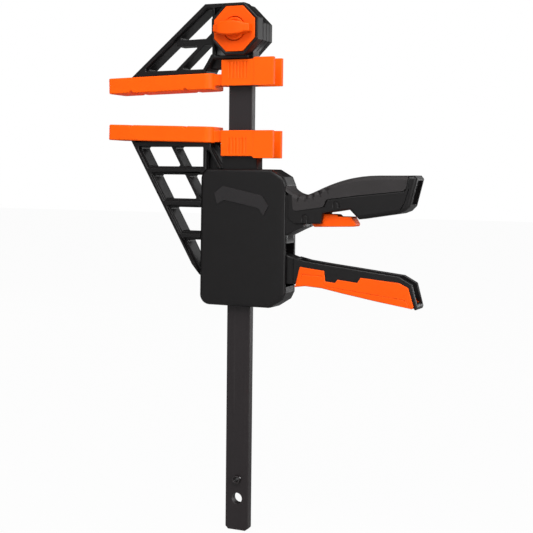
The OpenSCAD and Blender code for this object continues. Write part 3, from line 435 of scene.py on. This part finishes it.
class Room:
    """Finds how large a rounding each outer edge has room for on the flats beside it."""

    # Faces count as one flat below this angle, in degrees
    FLAT = 0.8
    # Parts of the way to an edge that is rounded too, to one that stays sharp, and of an edge's own length
    SHARED, ALONE, LENGTH = 0.44, 0.8, 0.9
    # Edges nearer than this lie in line, and runs, leans and turns under these are none
    NEAR, NO_RUN, NO_LEAN, NO_TURN = 0.002 * MM, 1e-9, 0.001, 1e-3

    def __init__(self, shape, rounded):
        self.rounded = rounded
        self.flats = {}
        for face in shape.faces:
            if face not in self.flats:
                self.gather(face)
        self.most = {edge: self.beside(edge) for edge in rounded}

    def gather(self, first):
        """Collects the touching faces that lie in one plane, with their rim and its directions inwards."""
        level = math.cos(math.radians(self.FLAT))
        members, stack = {first}, [first]
        while stack:
            for edge in stack.pop().edges:
                for face in edge.link_faces:
                    if face not in members and face.normal.dot(first.normal) > level:
                        members.add(face)
                        stack.append(face)
        rim = {}
        for face in members:
            self.flats[face] = rim
            for loop in face.loops:
                if not all(other in members for other in loop.edge.link_faces):
                    along = loop.link_loop_next.vert.co - loop.vert.co
                    rim[loop.edge] = face.normal.cross(along).normalized()

    def beside(self, edge):
        """The largest radius that the width and the length of the flats on both sides allow."""
        sides = [self.on_flat(edge, self.flats[face]) for face in edge.link_faces]
        return min(side[0] for side in sides), min(side[1] for side in sides)

    def on_flat(self, edge, rim):
        if edge not in rim:
            return math.inf, math.inf
        start, end = (v.co for v in edge.verts)
        length = (end - start).length
        along = (end - start) / length
        inward = rim[edge]
        width, turns = math.inf, 0.0
        for other in rim:
            if other is edge:
                continue
            shared = [v for v in other.verts if v in edge.verts]
            if shared:
                away = other.other_vert(shared[0]).co - shared[0].co
                if other in self.rounded and away.dot(inward) > self.NO_LEAN * away.length:
                    inner = away.angle(edge.other_vert(shared[0]).co - shared[0].co)
                    turns += 1 / math.tan(inner / 2)
                continue
            (a, near_a), (b, near_b) = (((v.co - start).dot(along), (v.co - start).dot(inward))
                                        for v in other.verts)
            low, high = max(min(a, b), 0.0), min(max(a, b), length)
            if low > high or max(near_a, near_b) < self.NEAR:
                continue
            slope = (near_b - near_a) / (b - a) if abs(b - a) > self.NO_RUN else 0.0
            reached = min(near_a + slope * (t - a) for t in (low, high)) if slope else min(near_a, near_b)
            if reached > self.NEAR:
                width = min(width, reached * (self.SHARED if other in self.rounded else self.ALONE))
        return width, length * self.LENGTH / turns if turns > self.NO_TURN else math.inf

    def radius(self, edge):
        """What an edge and the rounded edges at its ends have room for."""
        ends = {other for v in edge.verts for other in v.link_edges if other in self.most}
        return min([self.most[edge][0]] + [self.most[other][1] for other in ends])


def weigh_edges(shape, radii):
    """Marks the sharp outer edges with their rounding, as large as radii(edge) asks or there is room for."""
    layer = shape.edges.layers.float.new("bevel_weight_edge")
    limit = math.radians(ROUNDED_OVER)
    wanted = {edge: radii(edge) for edge in shape.edges
              if len(edge.link_faces) == 2 and edge.is_convex and edge.calc_face_angle() > limit}
    room = Room(shape, wanted)
    fitting = {edge: min(radius, room.radius(edge)) for edge, radius in wanted.items()}
    most = max(fitting.values(), default=0.0)
    for edge, radius in fitting.items():
        edge[layer] = radius / most if most else 0.0
    return most


def shade_smooth(mesh, under=SMOOTH_UNDER):
    for polygon in mesh.polygons:
        polygon.use_smooth = True
    mesh.set_sharp_from_angle(angle=math.radians(under))


def bake(piece):
    """Keeps what the piece's modifiers make as its own mesh."""
    bpy.context.view_layer.update()
    evaluated = piece.evaluated_get(bpy.context.evaluated_depsgraph_get())
    result = bpy.data.meshes.new_from_object(evaluated)
    piece.modifiers.clear()
    old, piece.data = piece.data, result
    bpy.data.meshes.remove(old)
    return result


def keep_piece(shape, name, nodes, finish, round_to=0.0, steps=3, others=()):
    """Turns an edited shape into a piece that stands for frame nodes and rides on their body."""
    mesh = bpy.data.meshes.new(name)
    shape.to_mesh(mesh)
    shape.free()
    piece = bpy.data.objects.new(name, mesh)
    bpy.context.scene.collection.objects.link(piece)
    for material in (finish, *others):
        mesh.materials.append(Finishes.get(material))
    shade_smooth(mesh)
    if round_to > 0:
        edges = piece.modifiers.new("Rounded edges", "BEVEL")
        edges.limit_method = "WEIGHT"
        edges.width = round_to
        edges.segments = steps
        edges.use_clamp_overlap = False
        edges.loop_slide = False
        edges.miter_outer = "MITER_ARC"
    even_shading(piece)
    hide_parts(*nodes)
    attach(piece, BODY_OF[nodes[0]])
    return piece


def even_shading(piece):
    """Lets large faces keep their flat look beside rounded edges."""
    weighted = piece.modifiers.new("Even shading", "WEIGHTED_NORMAL")
    weighted.keep_sharp = True
    weighted.weight = LARGE_FACES_LEAD


def rounded_copy(node, name, finish, radius, steps=3):
    """The frame's shape with its sharp edges rounded by one radius, or by a rule that gives each its own."""
    shape = shape_of(node)
    width = weigh_edges(shape, radius if callable(radius) else lambda edge: radius)
    keep_piece(shape, name, [node], finish, width, steps)


def joint(name):
    """The record's row for a joint."""
    return next(j for j in frame["record"]["behaviour"]["joints"] if j["name"] == name)


def paint(finish, *nodes):
    """Gives frame nodes that stay as they are a finish."""
    for node in nodes:
        piece = NODES[node]
        if not piece.material_slots:
            piece.data.materials.append(None)
        for slot in piece.material_slots:
            slot.material = Finishes.get(finish)


class PieceOperator:
    """What the piece operators have in common."""

    bl_options = {"REGISTER", "UNDO"}


# ---------------------------------------------------------------- the pieces

class CLAMP_OT_bar(PieceOperator, bpy.types.Operator):
    """Flat bar with broken edges, its hang hole and stop pin"""

    bl_idname = "clamp.bar"
    bl_label = "Bar"

    # Steps in each rounding, and the pin's rounding as a part of the bar's
    STEPS = 2
    PIN_PART = 1.6

    def execute(self, context):
        edge = sizes().steel_edge
        rounded_copy("bar", "flat_bar", "black_bar", edge, self.STEPS)
        rounded_copy("stop_pin", "rolled_stop_pin", "black_bar", edge * self.PIN_PART,
                     self.STEPS)
        return {"FINISHED"}


class CLAMP_OT_jaws(PieceOperator, bpy.types.Operator):
    """Fixed jaw with its lock head, and the sliding frame with its moving jaw and handle core"""

    bl_idname = "clamp.jaws"
    bl_label = "Jaws"

    # Side view of the two collar plates that join the covers to the handle's root, with their corner under
    # the root, and where they begin and end to each side of the middle, in millimetres
    COLLAR = ((38.32, 51.2), (46.7, 55.35), (51.8, 57.6), (51.8, 59.7), (45.6, 59.75), (41, 63.3), (41, 78.6),
              (38.32, 79.8))
    COLLAR_SIDES = (4.4, 9.2)
    # In millimetres: how far out to each side the outer flats start; where the handle's root, the collar's
    # free edges, the handle past its neck and its lower part start along X; and the height of that part's top
    FLATS, ROOT, COLLAR_FREE, PAST_NECK, LOWER_PART, LOWER_TOP = 8.4, 38.3, 39, 58, 75, 70.8
    # Rounding of the handle's other long edges as a part of the lower ones'
    UPPER_PART = 0.4

    def execute(self, context):
        for node in ("fixed_jaw", "moving_jaw_frame"):
            shape = shape_of(node)
            if node == "moving_jaw_frame":
                for side in (-MM, MM):
                    add_block(shape, prism(self.COLLAR, *(side * y for y in self.COLLAR_SIDES)))
            width = weigh_edges(shape, self.radius)
            keep_piece(shape, node + "_moulding", [node], "black_nylon", width)
        return {"FINISHED"}

    @classmethod
    def radius(cls, edge):
        """The handle's long edges are rounded most, and the collar's edges beside the covers stay sharp."""
        at = middle(edge)
        if abs(at.y) <= cls.FLATS:
            return sizes().strut_edge
        if at.x <= cls.ROOT:
            return sizes().mould_edge
        if at.x < cls.PAST_NECK:
            return sizes().strut_edge if at.x > cls.COLLAR_FREE else 0.0
        lower = at.x > cls.LOWER_PART and at.z - CARRIAGE / MM < cls.LOWER_TOP
        return sizes().handle_edge * (1.0 if lower else cls.UPPER_PART)


class CLAMP_OT_pads(PieceOperator, bpy.types.Operator):
    """Orange jaw pads with their clip arms and thumb ribs"""

    bl_idname = "clamp.pads"
    bl_label = "Pads"

    # Where the thumb ribs are, along X and out to each side, and how long their edges may be, in millimetres
    RIBS_X, RIBS_Y, RIB_LENGTH = (-7.2, 9.2), (7.7, 8.6), 11.5
    # X where the clip arms pass into the pad, and X of its tip; and how near to Y an edge across the pad runs
    PAD_START, PAD_TIP = -18, -95
    ACROSS = 0.9

    def execute(self, context):
        for node in ("fixed_jaw_pad", "moving_jaw_pad"):
            rounded_copy(node, node + "_moulding", "orange_pad", self.radius)
        return {"FINISHED"}

    @classmethod
    def radius(cls, edge):
        """Fine on the ribs, small on the clip arms and on edges across the pad, and large round the pad."""
        at = middle(edge)
        run = edge.verts[1].co - edge.verts[0].co
        if cls.RIBS_X[0] < at.x < cls.RIBS_X[1] and cls.RIBS_Y[0] < abs(at.y) < cls.RIBS_Y[1] \
                and run.length < cls.RIB_LENGTH * MM:
            return sizes().rib_edge
        if at.x >= cls.PAD_START:
            return sizes().clip_edge
        across = abs(run.y) > cls.ACROSS * run.length
        return sizes().clip_edge if across and at.x > cls.PAD_TIP else sizes().pad_edge


class CLAMP_OT_lock(PieceOperator, bpy.types.Operator):
    """Lock plate and wing knob in the head, with the spindle and screws behind them"""

    bl_idname = "clamp.lock"
    bl_label = "Lock"

    # Sections of the knob's wing: X as a part of its reach, half its height and how far it stands back from
    # the foremost point, in millimetres
    WING = ((-1.0, 2.1, 3.2), (-0.99, 2.5, 2.5), (-0.94, 2.9, 2.0), (-0.78, 3.2, 1.5), (-0.7, 3.8, 0.75),
            (-0.62, 4.1, 0.4), (-0.4, 4.6, 0.1), (-0.1, 4.9, 0.0), (0.15, 4.85, 0.0), (0.4, 4.45, 0.15),
            (0.56, 3.9, 0.5), (0.66, 3.4, 1.2), (0.76, 3.1, 1.6), (0.92, 2.95, 2.1), (0.97, 2.7, 2.5),
            (0.99, 2.3, 3.0))
    # How far the wing stands out over the boss and how deep its foot is sunk in it, the rounding of its front
    # edges in millimetres and at most as a part of half its height, and the steps in that rounding
    WING_DEPTH, WING_FOOT, WING_ROUND, WING_ROUND_PART, WING_STEPS = 6.9, 0.6, 1.3, 0.6, 5
    # Boss of the knob: radius and distance behind its front face, in millimetres
    BOSS = ((0.0, 0.5), (5.9, 0.5), (6.2, 0.1), (6.5, 0.0), (7.3, 0.0), (7.65, 0.15), (7.8, 0.5), (7.8, 3.2),
            (8.42, 3.25), (8.42, 4.2), (0.0, 4.2))
    # Steps round the boss, the distance that clears it and how near its doubled points lie, in millimetres
    BOSS_STEPS, BOSS_REACH, BOSS_MERGED = 48, 9, 0.001

    def execute(self, context):
        rounded_copy("lock_plate", "lock_face_plate", "orange_nylon", sizes().lock_edge)
        rounded_copy("rear_lock_plate", "rear_plate", "black_nylon", sizes().rear_edge)
        self.make_knob()
        paint("plain_steel", "head_screws", "lock_spindle", "knob_cross_pin", "lock_washer", "lock_clip")
        return {"FINISHED"}

    def make_knob(self):
        """A boss with a raised ring and a belly-shaped wing across it."""
        low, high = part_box("lock_knob")
        shape = bmesh.new()
        rings = [self.wing_section(shape, x * high[0], half * MM, low[1], back * MM)
                 for x, half, back in self.WING]
        for one, next_one in zip(rings, rings[1:]):
            bmesh.ops.bridge_loops(shape, edges=one + next_one)
        for end in (rings[0], rings[-1]):
            bmesh.ops.edgeloop_fill(shape, edges=end)
        bmesh.ops.recalc_face_normals(shape, faces=shape.faces)
        self.add_boss(shape, low[1] + self.WING_DEPTH * MM)
        keep_piece(shape, "wing_knob", ["lock_knob"], "orange_nylon")

    def wing_section(self, shape, x, half, front, back):
        """A ring of edges across the wing: square at the boss, rounded in front."""
        foot = front + (self.WING_DEPTH + self.WING_FOOT) * MM
        radius = min(self.WING_ROUND * MM, half * self.WING_ROUND_PART)
        ring = [shape.verts.new((x, foot, LOCK.z + half))]
        for sign in (1, -1):
            for step in range(self.WING_STEPS + 1):
                turn = step / self.WING_STEPS * math.pi / 2
                if sign < 0:
                    turn = math.pi / 2 - turn
                ring.append(shape.verts.new((x, front + back + radius * (1 - math.sin(turn)),
                                             LOCK.z + sign * (half - radius * (1 - math.cos(turn))))))
        ring.append(shape.verts.new((x, foot, LOCK.z - half)))
        return [shape.edges.new(pair) for pair in zip(ring, ring[1:] + ring[:1])]

    def add_boss(self, shape, front):
        """Spins the boss's outline round the lock's axis."""
        line = [shape.verts.new((radius * MM, front + back * MM, LOCK.z)) for radius, back in self.BOSS]
        edges = [shape.edges.new(pair) for pair in zip(line, line[1:])]
        bmesh.ops.spin(shape, geom=line + edges, cent=LOCK, axis=(0, 1, 0), angle=math.tau,
                       steps=self.BOSS_STEPS, use_merge=True)
        found = {v for face in shape.faces for v in face.verts if abs(v.co.x) < self.BOSS_REACH * MM}
        bmesh.ops.remove_doubles(shape, verts=list(found | set(line)), dist=self.BOSS_MERGED * MM)
        bmesh.ops.recalc_face_normals(shape, faces=shape.faces)


class CLAMP_OT_body(PieceOperator, bpy.types.Operator):
    """Two body covers with their stripes"""

    bl_idname = "clamp.body"
    bl_label = "Body covers"

    # The stripe's faces lie this near to the outermost plane; and the steps in each rounding
    STRIPE_NEAR = 0.1 * MM
    STEPS = 2

    def execute(self, context):
        outermost = max(-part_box("front_cover")[0][1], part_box("rear_cover")[1][1])
        for node in ("front_cover", "rear_cover"):
            shape = shape_of(node)
            for face in shape.faces:
                face.material_index = int(abs(face.calc_center_median().y) > outermost - self.STRIPE_NEAR)
            width = weigh_edges(shape, self.radius)
            keep_piece(shape, node + "_moulding", [node], "black_nylon", width, self.STEPS,
                       others=("cover_stripe",))
        return {"FINISHED"}

    @staticmethod
    def radius(edge):
        """Fine round the stripe, and small on the rear cover, whose screw recesses leave little room."""
        if any(f.material_index for f in edge.link_faces):
            return sizes().rib_edge
        return sizes().cover_edge if middle(edge).y < 0 else sizes().strut_edge


class CLAMP_OT_handle(PieceOperator, bpy.types.Operator):
    """Soft grip with its rounded shoulders, and the handle's hollow end cap"""

    bl_idname = "clamp.handle"
    bl_label = "Handle"

    # Side view of the handle's top, from the body to the end, in millimetres above the carriage's lower edge:
    # two curves and the end of the straight run after them; and the points laid on the curves
    SADDLE = ((38.3, 85.6), (41, 81.2), (46, 79.4), (51.5, 79.4))
    BACK = ((51.5, 79.4), (59, 79.6), (74, 93), (105, 93.4))
    END = (125.7, 93.6)
    SADDLE_POINTS, BACK_POINTS = 8, 16
    # The block that the grip is cut to: by how much it clears the grip's top and sides, and its ends; and the
    # heights of its foot and of a level between foot and top
    CLEAR, PAST_END, BLOCK_FOOT, BLOCK_MIDDLE = 0.02, 0.3, 60, 75
    # Steps in the shoulders' rounding, and the turn in degrees under which the grip is shaded smooth
    SHOULDER_STEPS, SHOULDER_SMOOTH = 6, 34.0
    # Side view of the end cap, in millimetres as above
    CAP = ((126.4, 93.6), (126.5, 84.4), (123.6, 75), (119.6, 68.25), (123.9, 69.9), (127.1, 73.2),
           (131.6, 91.4), (129.8, 93.7))
    # The cap's edges are rounded under this height and past this X, in so many steps, but not this near to
    # the X of its join with the grip
    CAP_LOW, CAP_FAR, CAP_STEPS, JOIN_NEAR, JOIN_X = 70.6, 125, 4, 0.4, 126.4
    # The opening: its wall, its depth and how much it narrows, in millimetres
    CAP_WALL, CAP_DEPTH, CAP_DRAFT = 1.1, 2.2, 0.05
    # Points within this many millimetres are level, and faces whose normal has more than this along X face
    # the handle's end
    LEVEL, FACES_END = 0.01, 0.8

    def execute(self, context):
        self.make_grip()
        self.make_cap()
        return {"FINISHED"}

    def make_grip(self):
        """Cuts the frame's grip to a block with rounded shoulders."""
        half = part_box("handle_grip")[1][1] + self.CLEAR * MM
        end = self.END[0] + self.PAST_END
        top = []
        for curve, count in ((self.SADDLE, self.SADDLE_POINTS), (self.BACK, self.BACK_POINTS)):
            top += interpolate_bezier(*(Vector((x, 0, z)) for x, z in curve), count)[:-1]
        top += [Vector((x, 0, z)) for x, z in (self.BACK[-1], (end, self.END[1]))]
        start = top[0].x - self.PAST_END
        side = [(p.x, p.z + self.CLEAR) for p in top] + [(end, self.BLOCK_FOOT), (start, self.BLOCK_FOOT),
                                                         (start, top[0].z)]
        block = prism(side, -half, half)
        ridge = [e for e in block.edges if self.on_side(e, half) and self.height(e) > self.BLOCK_MIDDLE
                 and top[0].x - self.LEVEL < middle(e).x < top[-1].x - self.LEVEL]
        bmesh.ops.bevel(block, geom=ridge, affect="EDGES", offset=sizes().grip_shoulder,
                        segments=self.SHOULDER_STEPS, profile=0.5, material=-1, clamp_overlap=False)
        bmesh.ops.triangulate(block, faces=block.faces)
        shape = shape_of("handle_grip")
        cutter = self.loose_object("grip_block", block)
        piece = keep_piece(shape, "soft_grip", ["handle_grip"], "soft_rubber")
        cut = piece.modifiers.new("Rounded block", "BOOLEAN")
        cut.operation = "INTERSECT"
        cut.solver = "EXACT"
        cut.object = cutter
        piece.modifiers.move(len(piece.modifiers) - 1, 0)
        shade_smooth(bake(piece), self.SHOULDER_SMOOTH)
        even_shading(piece)
        bpy.data.objects.remove(cutter)

    @classmethod
    def on_side(cls, edge, half):
        """Whether an edge lies in one of the two side faces of a block."""
        return abs(abs(middle(edge).y) - half / MM) < cls.LEVEL

    @staticmethod
    def height(edge):
        """Height of an edge's middle above the carriage's lower edge, in millimetres."""
        return middle(edge).z - CARRIAGE / MM

    @staticmethod
    def loose_object(name, shape):
        mesh = bpy.data.meshes.new(name)
        shape.to_mesh(mesh)
        shape.free()
        made = bpy.data.objects.new(name, mesh)
        bpy.context.scene.collection.objects.link(made)
        return made

    def make_cap(self):
        """A cap with broad rounded edges, hollow at its end."""
        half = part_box("handle_end_cap")[1][1]
        shape = prism(self.CAP, -half, half)
        chain = [e for e in shape.edges if self.on_side(e, half)
                 and (self.height(e) < self.CAP_LOW or middle(e).x > self.CAP_FAR)
                 and abs(middle(e).x - self.JOIN_X) >= self.JOIN_NEAR]
        bmesh.ops.bevel(shape, geom=chain, affect="EDGES", offset=sizes().handle_edge,
                        segments=self.CAP_STEPS, profile=0.5, material=-1, clamp_overlap=False)
        bmesh.ops.inset_region(shape, faces=[self.end_face(shape)], thickness=self.CAP_WALL * MM,
                               use_even_offset=True)
        bmesh.ops.inset_region(shape, faces=[self.end_face(shape)], thickness=self.CAP_DRAFT * MM,
                               depth=-self.CAP_DEPTH * MM, use_even_offset=True)
        keep_piece(shape, "end_cap", ["handle_end_cap"], "black_nylon")

    @classmethod
    def end_face(cls, shape):
        """The largest face that faces the handle's end."""
        return max((f for f in shape.faces if f.normal.x > cls.FACES_END), key=lambda f: f.calc_area())


class CLAMP_OT_lever(PieceOperator, bpy.types.Operator):
    """Pump lever with its orange grip and hard nose"""

    bl_idname = "clamp.lever"
    bl_label = "Pump lever"

    def execute(self, context):
        edge = sizes().mould_edge
        rounded_copy("pump_lever", "lever_channel", "black_nylon", edge)
        rounded_copy("lever_grip", "lever_grip_moulding", "orange_nylon", edge)
        paint("plain_steel", "lever_nose_plate", "nose_rivets")
        return {"FINISHED"}


class CLAMP_OT_trigger(PieceOperator, bpy.types.Operator):
    """Release trigger under the handle"""

    bl_idname = "clamp.trigger"
    bl_label = "Release trigger"

    def execute(self, context):
        rounded_copy("release_trigger", "trigger_moulding", "orange_nylon",
                     sizes().mould_edge)
        return {"FINISHED"}


class CLAMP_OT_works(PieceOperator, bpy.types.Operator):
    """Pins, plates, screws and bar guides inside the body, and the springs that its plates press down"""

    bl_idname = "clamp.works"
    bl_label = "Inner works"

    def execute(self, context):
        paint("plain_steel", "cover_screws", "brake_fulcrum_pin", "lever_pivot_pin", "trigger_pivot_pin",
              "upper_drive_plate", "lower_drive_plate", "upper_brake_plate", "lower_brake_plate")
        paint("acetal", "lower_bar_guide", "upper_bar_guide")
        self.wind("drive_spring", "drive_plate_slide", joint("drive_plate_slide")["range_m"][1])
        hinge = joint("brake_plate_tilt")
        low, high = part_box("brake_spring")
        arm = (low[0] + high[0]) / 2 - hinge["pos_m"][0]
        self.wind("brake_spring", "brake_plate_tilt", arm * math.radians(hinge["range_deg"][1]))
        return {"FINISHED"}

    @staticmethod
    def wind(node, driven_by, travel):
        """Keeps a spring, which the plates above press towards its seat, as a piece of its own, shaped as it
        stands in the frame.
        """
        coil = keep_piece(shape_of(node), node + "_coil", [node], "plain_steel")
        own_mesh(coil)


# ---------------------------------------------------------------- the stage

# Where the camera stands, how it is turned, and what it takes in
CAMERA_PLACE = Vector((0.34858, -0.74292, 0.23366))
CAMERA_TURN = math.radians(23.846)
CAMERA_DOWN = math.radians(4.561)
CAMERA_ROLL = math.radians(0.656)
SENSOR = 36.0
SEEN_TO = 50.0


class CLAMP_OT_stage(bpy.types.Operator):
    """Pale floor, soft lamps, plain world and the camera"""

    bl_idname = "clamp.stage"
    bl_label = "Stage"

    # Lamps: name, place, size, the light level that they take and the part of it
    LAMPS = (("key_lamp", (0.2, -1.05, 1.45), 1.2, "key", 1.0),
             ("right_lamp", (1.5, -0.75, 0.6), 0.9, "side", 1.0),
             ("left_rim_lamp", (-1.5, 0.65, 0.4), 0.9, "rim", 1.0),
             ("right_rim_lamp", (0.8, 1.5, 0.12), 0.5, "rim", 0.4),
             ("upper_rim_lamp", (0.6, 1.53, 0.68), 0.8, "rim", 0.28),
             ("sheen_lamp", (-0.45, -1.9, 0.15), 1.3, "sheen", 1.0))
    # X of the point that the lamps are turned to, at the clamp's middle height
    AIM_X = 0.03

    def execute(self, context):
        stage = context.scene.clamp_stage
        self.lay_floor(stage)
        self.set_world(context.scene, stage)
        aim = Vector((self.AIM_X, 0, (CAD_BOX[0][2] + CAD_BOX[1][2]) / 2))
        for name, place, size, level, part in self.LAMPS:
            self.hang_lamp(name, Vector(place), aim, size, getattr(stage, level) * part)
        self.set_camera(context.scene, stage)
        context.scene.view_settings.view_transform = "Standard"
        return {"FINISHED"}

    @staticmethod
    def lay_floor(stage):
        floor = bmesh.new()
        bmesh.ops.create_grid(floor, x_segments=1, y_segments=1, size=stage.floor_size / 2)
        bmesh.ops.translate(floor, vec=(0, 0, CAD_BOX[0][2] - FLOOR_GAP), verts=floor.verts)
        mesh = bpy.data.meshes.new("floor")
        floor.to_mesh(mesh)
        floor.free()
        sheet = bpy.data.objects.new("floor", mesh)
        bpy.context.scene.collection.objects.link(sheet)
        f = Finish("pale_floor")
        f.set(Base_Color=(*colours().floor, 1.0), Roughness=0.9, Specular_IOR_Level=0.0)
        rays = f.node("ShaderNodeLightPath", output="Is Camera Ray")
        white = f.node("ShaderNodeEmission", {}, {"Color": (1.0, 1.0, 1.0, 1.0), "Strength": 1.0})
        lifted = f.node("ShaderNodeMixShader", {}, {
            0: rays * stage.glow, 1: Level(f, f.shader.outputs[0]), 2: white})
        f.feed(f.tree.nodes["Material Output"].inputs["Surface"], lifted)
        mesh.materials.append(f.material)

    @staticmethod
    def set_world(scene, stage):
        world = bpy.data.worlds.new("plain_world")
        scene.world = world
        world.use_nodes = True
        tree = world.node_tree
        back = tree.nodes["Background"]
        back.inputs["Color"].default_value = (1.0, 1.0, 1.0, 1.0)
        paths = tree.nodes.new("ShaderNodeLightPath")
        seen = tree.nodes.new("ShaderNodeMix")
        seen.data_type = "FLOAT"
        tree.links.new(paths.outputs["Is Camera Ray"], seen.inputs["Factor"])
        seen.inputs["A"].default_value = stage.world
        seen.inputs["B"].default_value = 1.0
        tree.links.new(seen.outputs["Result"], back.inputs["Strength"])

    @staticmethod
    def hang_lamp(name, place, aim, size, power):
        light = bpy.data.lights.new(name, "AREA")
        light.size = size
        light.energy = power
        lamp = bpy.data.objects.new(name, light)
        lamp.location = place
        lamp.rotation_euler = (aim - place).to_track_quat("-Z", "Y").to_euler()
        bpy.context.scene.collection.objects.link(lamp)

    @staticmethod
    def set_camera(scene, stage):
        lens = bpy.data.cameras.new("camera")
        lens.sensor_width = SENSOR
        lens.lens = stage.lens
        lens.clip_end = SEEN_TO
        camera = bpy.data.objects.new("camera", lens)
        scene.collection.objects.link(camera)
        camera.matrix_world = (Matrix.Translation(CAMERA_PLACE) @ Matrix.Rotation(CAMERA_TURN, 4, "Z")
                               @ Matrix.Rotation(math.pi / 2 - CAMERA_DOWN, 4, "X")
                               @ Matrix.Rotation(CAMERA_ROLL, 4, "Z"))
        scene.camera = camera


# ---------------------------------------------------------------- panel and run

OPERATORS = (CLAMP_OT_bar, CLAMP_OT_jaws, CLAMP_OT_pads, CLAMP_OT_lock, CLAMP_OT_body, CLAMP_OT_handle,
             CLAMP_OT_lever, CLAMP_OT_trigger, CLAMP_OT_works, CLAMP_OT_stage)
GROUPS = {"clamp_sizes": ClampSizes, "clamp_colours": ClampColours, "clamp_stage": ClampStage}


class CLAMP_PT_panel(bpy.types.Panel):
    """Sizes, colours and pieces of the clamp"""

    bl_label = "Bar clamp"
    bl_idname = "CLAMP_PT_panel"
    bl_space_type = "VIEW_3D"
    bl_region_type = "UI"
    bl_category = "Clamp"

    def draw(self, context):
        for attribute, group in GROUPS.items():
            box = self.layout.box()
            box.label(text=group.__doc__)
            for name in group.__annotations__:
                box.prop(getattr(context.scene, attribute), name)
        for operator in OPERATORS:
            self.layout.operator(operator.bl_idname)


def register():
    for cls in (*GROUPS.values(), *OPERATORS, CLAMP_PT_panel):
        bpy.utils.register_class(cls)
    for attribute, group in GROUPS.items():
        setattr(bpy.types.Scene, attribute, PointerProperty(type=group))


def unregister():
    for attribute in GROUPS:
        delattr(bpy.types.Scene, attribute)
    for cls in reversed((*GROUPS.values(), *OPERATORS, CLAMP_PT_panel)):
        bpy.utils.unregister_class(cls)


def main():
    register()
    for operator in OPERATORS:
        group, name = operator.bl_idname.split(".")
        getattr(getattr(bpy.ops, group), name)()
    bpy.context.view_layer.update()


if __name__ == "__main__":
    main()
